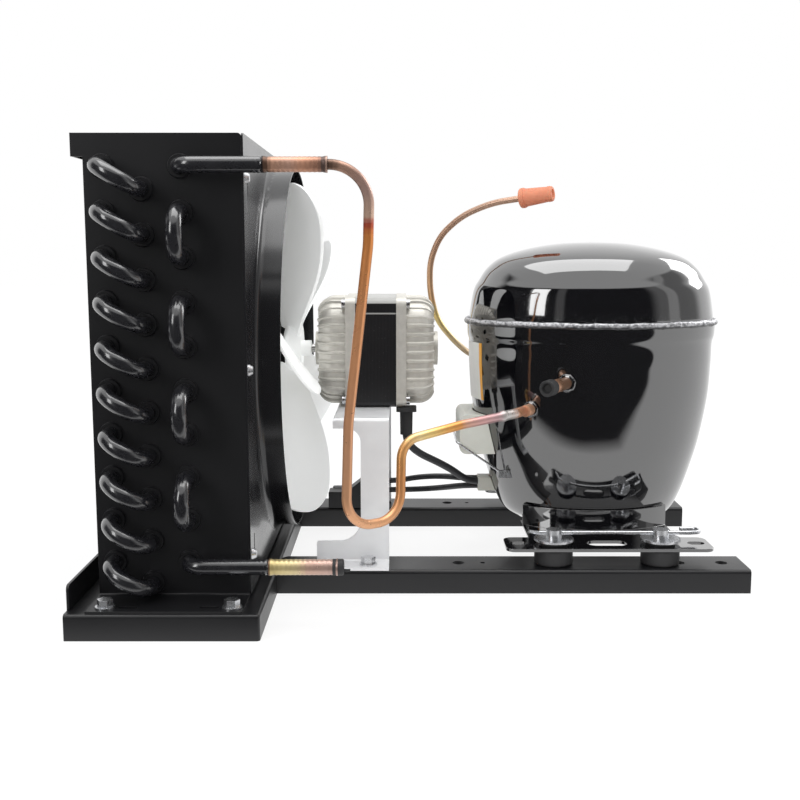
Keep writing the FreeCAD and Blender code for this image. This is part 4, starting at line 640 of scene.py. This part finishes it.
def returnBends():
    # front bends: slanted between rows one and two, upright in row three
    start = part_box("return_bends")[1][1]
    leg = coil["stubEnd"] * mm - (plateY - start)
    slant = (rowX[1] - rowX[0], 0.0, -halfPitch)
    upright = (0.0, 0.0, -2 * halfPitch)
    rows = range(coil["rows"])
    routes = [uBend((rowX[0], start, tubeHeight(0, index)), slant, leg, -1.0) for index in rows]
    routes += [uBend((rowX[2], start, tubeHeight(2, index)), upright, leg, -1.0) for index in rows[1:-1:2]]
    meshes = [pipeMesh("bend", route, tubeRadius, coil["reference"], coil["around"]) for route in routes]
    putPiece(joinedMeshes("returnBends", meshes), "returnBends", "unit", "tube_black", "return_bends")


def hairpins():
    # long legs through the fins, bent at the rear
    front = coilLow[1]
    rear = coilHigh[1]
    slant = (rowX[1] - rowX[2], 0.0, -halfPitch)
    upright = (0.0, 0.0, -2 * halfPitch)
    leg = rear - tubeRadius - halfPitch - front
    rows = range(coil["rows"])
    routes = [uBend((rowX[0], front, tubeHeight(0, index)), upright, leg, 1.0) for index in rows[::2]]
    routes += [uBend((rowX[2], front, tubeHeight(2, index)), slant, leg, 1.0) for index in rows]
    meshes = [pipeMesh("hairpin", route, tubeRadius, coil["reference"], 20, 0.004) for route in routes]
    putPiece(joinedMeshes("hairpins", meshes), "hairpins", "unit", "tube_black", "hairpin_tubes")


returnBends()
hairpins()


def headerPipe(node):
    # out of row three and round to the right, its end swollen a little by the brazed joint
    low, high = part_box(node)
    z = (low[2] + high[2]) / 2
    y = low[1] + tubeRadius
    route = roundedRoute([(rowX[2], high[1], z), (rowX[2], y, z), (high[0], y, z)], [9.0 * mm])
    reach = routeLength(route)

    def swell(far):
        lumps = 0.0002 * np.sin(far * 2600.0) * np.clip((far - reach + 0.008) / 0.006, 0.0, 1.0)
        return tubeRadius + lumps - 0.0002
    mesh = pipeMesh(node, route, swell, (0.0, 0.0, 1.0), 32, 0.0008)
    putPiece(mesh, node + "Skin", "unit", "tube_black", node)


headerPipe("inlet_pipe")
headerPipe("outlet_pipe")
print("tubes made")


def finPack():
    # thin plates whose cross-section waves along X: y = place + swing * sin(turns * x)
    look = {"pitch": 2.6, "thickness": 0.22, "swing": 0.7, "wave": 11.0, "steps": 37}
    low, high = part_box("fin_pack")
    count = int((high[1] - low[1]) / (look["pitch"] * mm))
    across = np.linspace(low[0], high[0], look["steps"])
    wave = look["swing"] * mm * np.sin((across - low[0]) * 2.0 * math.pi / (look["wave"] * mm))
    margin = (look["swing"] + look["thickness"]) * mm
    places = np.linspace(low[1] + margin, high[1] - margin, count)
    half = look["thickness"] * mm / 2
    # each fin is a flat tube: front low, front high, back high, back low along X
    y = places[:, None, None] + wave[None, :, None] + np.array([-half, -half, half, half])[None, None, :]
    z = np.broadcast_to(np.array([low[2], high[2], high[2], low[2]])[None, None, :], y.shape)
    x = np.broadcast_to(across[None, :, None], y.shape)
    points = np.stack([x, y, z], axis=-1)
    corners = 4 * look["steps"]
    ends = np.array([[0, 1, 2, 3], [corners - 1, corners - 2, corners - 3, corners - 4]])
    one = np.concatenate([gridFaces(look["steps"], 4, False, True), ends])
    faces = (np.arange(count)[:, None, None] * corners + one[None]).reshape(-1, 4)
    mesh = bpy.data.meshes.new("fins")
    mesh.from_pydata(points.reshape(-1, 3).tolist(), [], faces.tolist())
    mesh.validate()
    tidy = bmesh.new()
    tidy.from_mesh(mesh)
    bmesh.ops.recalc_face_normals(tidy, faces=tidy.faces)
    tidy.to_mesh(mesh)
    tidy.free()
    putPiece(mesh, "fins", "unit", "fin_black", "fin_pack", smooth=False)


finPack()
print("fins made")


# copper lines

copperLook = {"line": 6.35, "process": 4.76, "heading": (-0.476, -0.879, 0.0)}


def dischargeLine():
    # hand-bent tube; near the compressor it widens into a brazed socket with a lumpy ring of solder
    look = {"clearance": 0.2, "socket": 0.3, "socketLength": 24.0, "socketStart": 2.0, "solder": 0.45,
            "solderAt": 22.5, "solderLength": 2.2}
    tip = np.array([63.9, -63.4, 113.0])
    heading = np.array(copperLook["heading"])
    points = [(-57.8, -167.3, 265.7), (-34.6, -166.3, 265.1), (-35.8, -160.0, 222.0), (-48.1, -150.0, 118.0),
              (-50.2, -146.0, 54.3), (-17.8, -122.0, 54.3), (-16.9, -111.0, 101.0), (22.0, -92.0, 108.5),
              tuple(tip + heading * 13.0), tuple(tip)]
    radii = np.array([22.0, 70.0, 90.0, 19.5, 19.5, 15.0, 60.0, 8.0]) * mm
    route = roundedRoute([np.array(point) * mm for point in points], radii)
    whole = routeLength(route)
    radius = copperLook["line"] * mm / 2

    def swell(far):
        fromEnd = (whole - far) / mm
        socket = look["socket"] * np.clip((look["socketLength"] - fromEnd) / look["socketStart"], 0.0, 1.0)
        ring = np.exp(-((fromEnd - look["solderAt"]) / look["solderLength"]) ** 2)
        lumps = 1.0 + 0.4 * np.sin(far * 4000.0)
        return radius + (socket + look["solder"] * ring * lumps - look["clearance"]) * mm
    # the pale yellow tones at 0.785 and 0.805 of the length are a painted highlight, not a tint of the metal
    tones = [(0.0, 0.12, 0.07, 0.05), (0.020, 0.50, 0.30, 0.22), (0.065, 0.50, 0.33, 0.28),
             (0.104, 0.70, 0.48, 0.36), (0.117, 0.50, 0.08, 0.05), (0.135, 0.78, 0.29, 0.08),
             (0.24, 0.80, 0.36, 0.16), (0.46, 0.80, 0.42, 0.24), (0.60, 0.86, 0.46, 0.25),
             (0.70, 0.78, 0.35, 0.13), (0.755, 0.84, 0.44, 0.16), (0.785, 0.98, 0.76, 0.38),
             (0.805, 0.96, 0.68, 0.26), (0.835, 0.86, 0.44, 0.13), (0.858, 0.80, 0.35, 0.10),
             (0.872, 0.70, 0.40, 0.30), (0.90, 0.70, 0.40, 0.39), (0.935, 0.58, 0.38, 0.39),
             (0.950, 0.62, 0.60, 0.58), (0.960, 0.60, 0.56, 0.54), (0.972, 0.84, 0.42, 0.24),
             (1.0, 0.72, 0.34, 0.22)]
    mesh = pipeMesh("dischargeLine", route, swell, (0.0, 1.0, 0.0), 32, 0.0012)
    mapRun(mesh, route)
    putPiece(mesh, "dischargeLine", "unit", "copper", "discharge_line", drawnCopper("lineCopper", tones))


dischargeLine()
print("discharge line made")


def widestRadii(points):
    # for each inner corner, an arc that takes nearly half of the shorter run beside it; end runs count double
    points = [np.array(point, dtype=float) for point in points]
    radii = []
    for index in range(1, len(points) - 1):
        back = points[index - 1] - points[index]
        ahead = points[index + 1] - points[index]
        lengths = [np.linalg.norm(back) * (2.0 if index == 1 else 1.0),
                   np.linalg.norm(ahead) * (2.0 if index == len(points) - 2 else 1.0)]
        turn = math.pi - math.acos(float(back @ ahead) / np.linalg.norm(back) / np.linalg.norm(ahead))
        radii.append(0.45 * min(lengths) / math.tan(turn / 2.0))
    return radii


def processTube():
    # thin charging tube: brown copper with a yellow flame band where it leaves the shell
    points = np.array([(44.8, 33.0, 140.0), (36.3, 39.2, 140.0), (23.7, 44.0, 150.5), (10.1, 45.0, 166.5),
                       (4.6, 42.0, 188.3), (4.4, 38.0, 210.7), (11.6, 33.0, 229.7), (27.3, 27.0, 244.1),
                       (48.3, 18.0, 253.0), (75.5, 4.8, 256.7)]) * mm
    route = roundedRoute(points, widestRadii(points), 0.001)
    tones = [(0.0, 0.60, 0.42, 0.28), (0.12, 0.82, 0.66, 0.44), (0.27, 0.96, 0.74, 0.30),
             (0.34, 0.78, 0.48, 0.26), (0.55, 0.60, 0.36, 0.24), (0.80, 0.58, 0.38, 0.28),
             (1.0, 0.66, 0.42, 0.30)]
    radius = copperLook["process"] * mm / 2 - 0.0001
    mesh = pipeMesh("processTube", route, radius, (0.3, 0.9, 0.2), 24, 0.0012)
    mapRun(mesh, route)
    putPiece(mesh, "processTubeSkin", "unit", "copper", "process_tube", drawnCopper("processCopper", tones))
    return points[-2], points[-1]


def alongAxis(node, axis):
    # a round node's middle line, and how far its corners reach each way along the axis
    mesh = frame["nodes"][node].data
    places = np.empty(len(mesh.vertices) * 3)
    mesh.vertices.foreach_get("co", places)
    places = places.reshape(-1, 3)
    axis = np.array(axis) / np.linalg.norm(axis)
    reach = places @ axis
    across = places - np.outer(reach, axis)
    middle = (across.min(axis=0) + across.max(axis=0)) / 2
    return middle, axis, reach.min(), reach.max()


def processPlug():
    # orange plug: a rimmed flange, a tapered barrel and a small ring at its end
    insert = 8.0
    before, last = processTube()
    heading = (last - before) / np.linalg.norm(last - before)
    back = last - heading * insert * mm
    profile = [(0.0, 2.4), (0.0, 6.5), (0.6, 7.1), (2.8, 7.2), (3.5, 6.9), (3.7, 6.45), (9.0, 6.1), (15.0, 5.7),
               (20.0, 5.35), (20.6, 5.55), (22.6, 5.5), (23.6, 5.2), (24.0, 4.6), (24.0, 3.4), (22.4, 2.6),
               (21.9, 1.2), (23.0, 0.7), (23.2, 0.0)]
    mesh = turned("processPlugSkin", np.array(profile) * mm, back, heading, 56)
    putPiece(mesh, "processPlugSkin", "process_closure", "orange_rubber", "process_plug")


def suctionPlug():
    # black plug with a thin root in the stub and a dished outer end
    middle, axis, near, far = alongAxis("suction_plug", (-0.5, -0.8660254, 0.0))
    mouth = near + 7.0 * mm
    profile = [(near, 0.0), (near, 3.0 * mm), (mouth, 3.0 * mm), (mouth, 5.0 * mm),
               (near + 7.4 * mm, 5.3 * mm), (far - 0.9 * mm, 5.3 * mm), (far - 0.2 * mm, 5.0 * mm),
               (far, 4.4 * mm), (far - 0.1 * mm, 3.6 * mm), (far - 1.0 * mm, 3.1 * mm),
               (far - 3.0 * mm, 2.6 * mm), (far - 3.0 * mm, 0.0)]
    mesh = turned("suctionPlugSkin", profile, middle, axis, 48)
    putPiece(mesh, "suctionPlugSkin", "suction_closure", "black_rubber", "suction_plug")
    return middle, axis, mouth


def weldRing(name, middle, axis, place, outer, lumps):
    # a lumpy fillet round a stub's root: radius times (1 + small waves round the turn)
    around = 96
    inner = 4.0 * mm
    length = 2.6 * mm
    turn = np.linspace(0.0, 2.0 * math.pi, around, endpoint=False)
    side = np.cross(axis, (0.0, 0.0, 1.0))
    side = side / np.linalg.norm(side)
    up = np.cross(side, axis)
    waves = np.sin(7.0 * turn) * 0.5 + np.sin(13.0 * turn + 1.0) * 0.3 + np.sin(23.0 * turn) * 0.2
    waves = 1.0 + lumps * waves
    share = np.array([(0.0, 1.0), (0.35, 1.0), (0.75, 0.93), (1.0, 0.75), (1.15, 0.4), (1.2, 0.0)])
    radius = inner + (outer - inner) * share[:, 1][:, None] * waves[None]
    ring = np.cos(turn)[:, None] * side + np.sin(turn)[:, None] * up
    rings = middle + (place + share[:, 0] * length)[:, None, None] * axis + radius[:, :, None] * ring[None]
    putPiece(skinned(name, rings), name, "unit", "gloss_black")


def stubs():
    # both stubs are copper tubes; their weld rings are black enamel like the shell
    middle, axis, mouth = suctionPlug()
    root = alongAxis("suction_stub", axis)[2]
    profile = [(root, 4.0 * mm), (root + 14.0 * mm, 4.0 * mm), (root + 14.8 * mm, 4.35 * mm),
               (mouth - 0.6 * mm, 4.35 * mm), (mouth - 0.05 * mm, 4.1 * mm), (mouth - 0.05 * mm, 3.1 * mm)]
    tube = turned("suctionStubSkin", profile, middle, axis, 48)
    tan = drawnCopper("tanCopper", metallic=0.85)
    putPiece(tube, "suctionStubSkin", "unit", "copper", "suction_stub", tan)
    weldRing("suctionWeld", middle, axis, root + 1.2 * mm, 6.3 * mm, 0.12)
    middle, axis, root, far = alongAxis("discharge_stub", copperLook["heading"])
    profile = [(root, 4.0 * mm), (far - 0.5 * mm, 4.0 * mm), (far, 3.7 * mm)]
    tube = turned("dischargeStubSkin", profile, middle, axis, 48)
    putPiece(tube, "dischargeStubSkin", "unit", "copper", "discharge_stub")
    weldRing("dischargeWeld", middle, axis, root + 1.2 * mm, 5.6 * mm, 0.14)


processPlug()
stubs()
print("stubs and plugs made")


def connectors():
    # swaged copper sleeves, tinted by brazing: the radius swells at both ends
    look = {"wall": 1.8, "flare": 1.6, "rise": 0.45, "ripple": 0.08}
    for node, tones in (("inlet_connector", [(0.0, 0.02, 0.015, 0.015), (0.07, 0.16, 0.09, 0.06),
                                             (0.16, 0.56, 0.32, 0.22), (0.40, 0.60, 0.36, 0.27),
                                             (0.62, 0.66, 0.34, 0.22), (0.86, 0.42, 0.22, 0.15),
                                             (0.94, 0.12, 0.08, 0.07), (1.0, 0.45, 0.30, 0.24)]),
                        ("outlet_connector", [(0.0, 0.20, 0.12, 0.07), (0.04, 0.60, 0.48, 0.22),
                                              (0.20, 0.74, 0.61, 0.31), (0.42, 0.70, 0.57, 0.33),
                                              (0.56, 0.63, 0.42, 0.33), (0.85, 0.58, 0.40, 0.34),
                                              (1.0, 0.42, 0.29, 0.25)])):
        low, high = (np.array(corner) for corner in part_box(node))
        radius = (high[2] - low[2]) / 2
        x = np.linspace(low[0], high[0], 60)
        flare = look["flare"] * mm
        ends = np.exp(-((x - low[0]) / flare) ** 2) + np.exp(-((high[0] - x) / flare) ** 2)
        swell = look["rise"] * np.minimum(ends, 1.0) + look["ripple"] * np.sin(x * 2300.0)
        side = np.stack([x - low[0], radius - 0.0005 + swell * mm], axis=1)
        bore = radius - look["wall"] * mm
        profile = np.concatenate([[[0.0, bore]], side, [[high[0] - low[0], bore]]])
        centre = np.array([low[0], (low[1] + high[1]) / 2, (low[2] + high[2]) / 2])
        mesh = turned(node + "Skin", profile, centre, (1.0, 0.0, 0.0), 40)
        mapRun(mesh, np.array([centre, centre + np.array([high[0] - low[0], 0.0, 0.0])]))
        putPiece(mesh, node + "Skin", "unit", "copper", node, drawnCopper(node + "Copper", tones))


connectors()


def ribbedWall(node, nose, flange):
    # a skin over a shield's walls. Its section is a square with round corners; a row's points are
    # core + outward * (corner - nose radius + nose radius * cos(tilt)) and the ribs lift it along its normal
    look = {"half": 36.06, "corner": 20.06, "round": 10.0, "pitch": 6.2, "width": 2.0, "slope": 0.7,
            "lift": 1.35, "inside": 0.3, "cornerSteps": 110, "flatSteps": 98}
    forward = math.copysign(1.0, nose - flange)
    share = (np.linspace(-1.0, 1.0, look["flatSteps"] + 2)[1:-1, None] + 1.0) / 2.0
    corners = (look["half"] - look["corner"]) * np.array([(1.0, 1.0), (-1.0, 1.0), (-1.0, -1.0), (1.0, -1.0)])
    arcs = []
    for quarter, corner in enumerate(corners):
        angle = quarter * math.pi / 2 + np.linspace(0.0, math.pi / 2, look["cornerSteps"])
        bend = np.stack([np.cos(angle), np.sin(angle)], axis=1)
        arcs.append(np.concatenate([np.broadcast_to(corner, bend.shape), bend], axis=1))
        edge = corner + (corners[(quarter + 1) % 4] - corner) * share
        normal = np.array([math.cos((quarter + 1) * math.pi / 2), math.sin((quarter + 1) * math.pi / 2)])
        arcs.append(np.concatenate([edge, np.broadcast_to(normal, edge.shape)], axis=1))
    core, outward = np.split(np.concatenate(arcs), 2, axis=1)
    wall = core + outward * look["corner"]
    across = np.where(np.abs(outward[:, 0]) > np.abs(outward[:, 1]), wall[:, 1], wall[:, 0])
    off = np.abs((across / look["pitch"] + 0.5) % 1.0 - 0.5) * look["pitch"]
    rib = np.clip((look["width"] / 2 + look["slope"] / 2 - off) / look["slope"], 0.0, 1.0) * look["lift"]
    tilt = np.concatenate([[0.0, 0.0], np.linspace(0.05, math.pi / 2 - 0.12, 12)])
    reach = np.concatenate([[flange / mm, nose / mm - forward * look["round"]],
                            nose / mm - forward * look["round"] * (1.0 - np.sin(tilt[2:]))])

    def row(x, lean, lift):
        size = look["corner"] - look["round"] + (look["round"] + lift) * math.cos(lean)
        yz = core + outward * size[:, None]
        return np.stack([x + forward * lift * math.sin(lean), yz[:, 0], yz[:, 1]], axis=1)
    # the ribs' outer skin, lower near the nose, then its smooth inner side on the way back
    rows = [row(x, lean, rib * (1.0 if lean < 1.3 else 0.4)) for x, lean in zip(reach, tilt)]
    rows += [row(x, lean, np.full(len(core), -look["inside"])) for x, lean in zip(reach[::-1], tilt[::-1])]
    points = np.stack(rows) * mm + np.array([0.0, 0.0, fanAxis])
    mesh = meshOf(node + "Ribs", points, gridFaces(len(rows), len(core), True, True), math.radians(45))
    putPiece(mesh, node + "Ribs", "unit", "cast_aluminium")


ribbedWall("frontShield", -74.5 * mm, -55.6 * mm)
ribbedWall("rearShield", 5.5 * mm, -13.4 * mm)
print("motor ribs made")


# compressor shell

def flowing(points, steps):
    # a curve through all the points: each stretch is a cubic whose end slopes lean on the neighbours
    points = np.array(points, dtype=float)
    padded = np.concatenate([2 * points[:1] - points[1:2], points, 2 * points[-1:] - points[-2:-1]])
    share = np.linspace(0.0, 1.0, steps, endpoint=False)[:, None]
    pieces = []
    for a, b, c, d in zip(padded[:-3], padded[1:-2], padded[2:-1], padded[3:]):
        pieces.append(0.5 * (2 * b + (c - a) * share + (2 * a - 5 * b + 4 * c - d) * share ** 2
                             + (3 * b - a - 3 * c + d) * share ** 3))
    return np.concatenate(pieces + [points[-1:]])


shell = {"half": 86.0, "middle": 118.0, "ratio": 135.8 / 172.0, "around": 192}
shellLow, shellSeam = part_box("compressor_lower_shell")[0][2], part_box("compressor_lower_shell")[1][2]
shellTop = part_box("compressor_upper_shell")[1][2]


def ovalSkin(name, profile):
    # the profile of (radius, height) swept round, with its depth squeezed by the plan's ratio
    turn = np.linspace(0.0, 2.0 * math.pi, shell["around"], endpoint=False)
    x = shell["middle"] * mm + profile[:, 0:1] * np.cos(turn)[None]
    y = profile[:, 0:1] * np.sin(turn)[None] * shell["ratio"]
    z = np.broadcast_to(profile[:, 1:2], x.shape)
    return skinned(name, np.stack([x, y, z], axis=-1), math.radians(50))


def compressorShell():
    half = shell["half"] * mm
    tall = shellSeam - shellLow
    wall = np.array([(0.60, 0.0), (0.705, 0.045), (0.782, 0.135), (0.856, 0.27), (0.922, 0.42), (0.98, 0.63),
                     (0.997, 0.80), (1.0, 0.90), (1.016, 0.945), (1.0215, 0.998)])
    lower = flowing(wall, 10) * np.array([half, tall]) + np.array([0.0, shellLow])
    lower = np.concatenate([[[0.3 * half, shellLow]], lower,
                            [[0.985 * half, shellSeam], [0.5 * half, shellSeam]]])
    putPiece(ovalSkin("lowerShell", lower), "lowerShell", "unit", "gloss_black", "compressor_lower_shell")
    crown = np.array([(1.0, 0.0), (0.998, 0.135), (0.968, 0.40), (0.922, 0.535), (0.856, 0.68), (0.748, 0.805),
                      (0.557, 0.905), (0.30, 0.975), (0.02, 1.0)])
    upper = flowing(crown, 12) * np.array([half, shellTop - shellSeam]) + np.array([0.0, shellSeam])
    upper = np.concatenate([[[0.5 * half, shellSeam]], upper])
    putPiece(ovalSkin("upperShell", upper), "upperShell", "unit", "gloss_black", "compressor_upper_shell")


def seamBead():
    # a ring round the seam whose thickness and height wander a little with the turn
    look = {"ring": 87.4, "thick": 2.15, "height": 1.5, "steps": 720, "sides": 14}
    turn = np.linspace(0.0, 2.0 * math.pi, look["steps"], endpoint=False)[None]
    section = np.linspace(0.0, 2.0 * math.pi, look["sides"], endpoint=False)[:, None]
    waves = np.sin(37.0 * turn) * 0.4 + np.sin(83.0 * turn + 1.0) * 0.3 + np.sin(151.0 * turn + 2.0) * 0.3
    thick = look["thick"] * mm * (1.0 + 0.13 * waves)
    drift = 0.35 * mm * (np.sin(5.0 * turn) * 0.5 + np.sin(19.0 * turn + 0.7) * 0.5)
    radius = look["ring"] * mm + thick * np.cos(section)
    x = shell["middle"] * mm + radius * np.cos(turn)
    y = radius * np.sin(turn) * shell["ratio"]
    z = shellSeam + look["height"] * mm + drift + thick * np.sin(section)
    points = np.stack([x, y, z], axis=-1)
    mesh = meshOf("seamBead", points, gridFaces(look["sides"], look["steps"], True, True), math.radians(60))
    putPiece(mesh, "seamBead", "unit", "weld", "compressor_weld_bead")


def bareLabel():
    # a blank sheet that follows the shell: white, with a plain orange stripe at its front edge
    look = {"from": 203.0, "to": 155.0, "low": 115.0, "high": 155.0, "front": 0.35, "back": 0.05,
            "stripe": (-23.5, -24.0)}
    steps, rows = 40, 20
    turn = np.radians(np.linspace(look["from"], look["to"], steps))[:, None]
    height = np.linspace(look["low"], look["high"], rows)[None] * mm
    share = (height - shellLow) / (shellSeam - shellLow)
    wall = np.interp(share, [0.42, 0.63, 0.80, 0.90], [0.922, 0.98, 0.997, 1.0])
    layers = []
    for lift in (look["front"], look["back"]):
        radius = wall * shell["half"] * mm + lift * mm
        x = shell["middle"] * mm + radius * np.cos(turn)
        y = radius * np.sin(turn) * shell["ratio"]
        layers.append(np.stack([x, y, np.broadcast_to(height, x.shape)], axis=-1))
    points = np.concatenate([layers[0].reshape(-1, 3), layers[1].reshape(-1, 3)])
    face = gridFaces(steps, rows, False, False)
    edge = np.concatenate([np.arange(rows), np.arange(1, steps) * rows + rows - 1,
                           (steps - 1) * rows + np.arange(rows - 2, -1, -1),
                           np.arange(steps - 2, 0, -1) * rows])
    ahead = np.roll(edge, -1)
    layer = steps * rows
    rim = np.stack([edge, ahead, ahead + layer, edge + layer], axis=-1)
    mesh = meshOf("bareLabel", points, np.concatenate([face, face[:, ::-1] + layer, rim]), math.radians(30))
    paper = Finish("labelPaper", {"Specular IOR Level": 0.4})
    stripe = paper.between(paper.along(1), *(y * mm for y in look["stripe"]))
    body = paper.colour(paper.noise(300.0, 3.0), rgb(0.78, 0.78, 0.76), rgb(0.86, 0.86, 0.84))
    paper.dressed(paper.colour(stripe, body, rgb(0.85, 0.42, 0.08)), (paper.noise(200.0, 2.0), 0.36, 0.46))
    putPiece(mesh, "bareLabel", "unit", "cover_plastic", material=paper.material)


compressorShell()
seamBead()
bareLabel()
print("compressor shell made")


# the remaining sheet metal and hardware keep their fixed shapes with rounded edges

softened = {"condenser_tray": 0.45, "front_rail": 0.5, "rear_rail": 0.5, "front_end_plate": 0.35,
            "rear_end_plate": 0.35, "coil_top_cover": 0.35, "fan_shroud": 0.25, "motor_bracket": 0.35,
            "front_foot_plate": 0.5, "rear_foot_plate": 0.5, "junction_block": 0.6, "terminal_cover": 0.8,
            "lead_clip": 0.6, "end_plate_bolts": 0.3, "bracket_bolts": 0.3, "motor_stator": 0.5,
            "motor_front_shield": 0.5, "motor_rear_shield": 0.5, "fan_impeller": 0.5}
for node, width in softened.items():
    softenedNode(node, width * mm, shroudBlack() if node == "fan_shroud" else None)

for node, piece in frame["nodes"].items():
    for slot in piece.material_slots:
        slot.material = finishes[slotOf[node]]
print("fixed shapes dressed")


# floor, world and lamps

def raysOf(tree):
    # what kind of ray sees the shader: the camera's, a mirror's, or one that passes through
    rays = tree.nodes.new("ShaderNodeLightPath")
    names = ("Is Camera Ray", "Is Glossy Ray", "Is Transmission Ray")
    return [Knob(tree, rays.outputs[name]) for name in names]


def makeFloor():
    look = {"size": 6.0, "height": -0.0002, "paint": rgb(0.86, 0.86, 0.86), "glow": 0.80,
            "glowStrength": 1.06, "tableEdge": (-0.245, -0.195), "beyond": 0.03, "table": 0.9,
            "turnsBackAt": 0.21, "turnsBackBy": 0.8}
    sides = [(-1, -1), (1, -1), (1, 1), (-1, 1)]
    mesh = bpy.data.meshes.new("studioFloor")
    corners = [(x * look["size"], y * look["size"], look["height"]) for x, y in sides]
    mesh.from_pydata(corners, [], [(0, 1, 2, 3)])
    floor = bpy.data.objects.new("studioFloor", mesh)
    bpy.context.scene.collection.objects.link(floor)
    material = bpy.data.materials.new("studioFloor")
    material.use_nodes = True
    tree = material.node_tree
    camera, glossy, through = raysOf(tree)
    plain = camera.node("ShaderNodeBsdfDiffuse", {}, {"Color": look["paint"]})
    # mirrors see a table that ends a little in front of the unit, and a dim room past it
    place = Knob(tree, tree.nodes.new("ShaderNodeTexCoord").outputs["Object"])
    x, y = (camera.node("ShaderNodeSeparateXYZ", {}, {0: place}, axis) for axis in range(2))
    y = y + camera.maths("MAXIMUM", x - look["turnsBackAt"], 0.0) * look["turnsBackBy"]
    table = camera.node("ShaderNodeMapRange", {}, {0: y, 1: look["tableEdge"][0], 2: look["tableEdge"][1],
                                                   3: look["beyond"], 4: look["table"]})
    strength = (1.0 - glossy) * look["glowStrength"] + glossy * table
    glow = camera.node("ShaderNodeEmission", {}, {"Color": rgb(1.0, 1.0, 1.0), "Strength": strength})
    share = (1.0 - glossy) * (camera + glossy + through) * look["glow"] + glossy
    mixed = camera.node("ShaderNodeMixShader", {}, {0: share, 1: plain, 2: glow})
    tree.links.new(mixed.out, tree.nodes["Material Output"].inputs["Surface"])
    mesh.materials.append(material)


def makeWorld():
    # white to the camera; mirror-like surfaces see white behind and above, and a dim room in front.
    # each stretch of the room is (where it starts, where it is full, how bright), by heading in degrees;
    # above goes by height instead
    look = {"fill": 0.92, "dim": 0.02, "right": [(44.0, 56.0, 0.30), (96.0, 112.0, 0.66)],
            "left": (96.0, 116.0, 0.96), "strip": [(-31.0, -28.0, 0.20), (21.0, 24.0, 1.0)],
            "glint": [(62.0, 64.0, 0.35), (-76.0, -73.0, 1.0)], "above": (0.62, 0.68, 0.95)}
    world = bpy.data.worlds.new("studioWorld")
    bpy.context.scene.world = world
    world.use_nodes = True
    tree = world.node_tree
    background = tree.nodes["Background"]
    camera, glossy, through = raysOf(tree)
    direction = Knob(tree, tree.nodes.new("ShaderNodeTexCoord").outputs["Generated"])
    x, y, z = (camera.node("ShaderNodeSeparateXYZ", {}, {0: direction}, axis) for axis in range(3))
    heading = camera.maths("ARCTAN2", x, 0.0 - y) * (180.0 / math.pi)

    def rise(knob, low, high, top):
        return camera.node("ShaderNodeMapRange", {"interpolation_type": "SMOOTHSTEP"},
                           {0: knob, 1: low, 2: high, 3: 0.0, 4: top})
    right = rise(heading, *look["right"][0]) + rise(heading, *look["right"][1])
    left = rise(0.0 - heading, *look["left"])
    strip = rise(heading, *look["strip"][0]) * rise(0.0 - heading, *look["strip"][1])
    glint = rise(heading, *look["glint"][0]) * rise(0.0 - heading, *look["glint"][1])
    room = camera.maths("MAXIMUM", right + left + strip + glint + look["dim"], rise(z, *look["above"]))
    fill = (1.0 - camera) * (1.0 - glossy) * (1.0 - through) * look["fill"]
    strength = camera + through + glossy * room + fill
    background.inputs["Color"].default_value = rgb(1.0, 1.0, 1.0)
    tree.links.new(strength.out, background.inputs["Strength"])


def makeLamp(name, place, target, size, power):
    data = bpy.data.lights.new(name, "AREA")
    data.shape = "RECTANGLE"
    data.size, data.size_y = size
    data.energy = power
    lamp = bpy.data.objects.new(name, data)
    bpy.context.scene.collection.objects.link(lamp)
    lamp.location = place
    away = np.array(target) - np.array(place)
    away = away / np.linalg.norm(away)
    lamp.rotation_euler = (math.acos(-away[2]), 0.0, math.atan2(-away[0], away[1]))


makeFloor()
makeWorld()
makeLamp("overhead", (0.0, -0.1, 1.5), (0.0, 0.0, 0.1), (1.4, 1.0), 10.0)
makeLamp("leftFront", (-1.2, -1.3, 0.9), (0.0, 0.0, 0.12), (0.5, 1.0), 7.0)
makeLamp("rightRear", (1.3, 0.8, 1.0), (0.0, 0.0, 0.12), (0.8, 0.8), 9.0)
bpy.context.scene.view_settings.view_transform = "Standard"
print("stage lit")
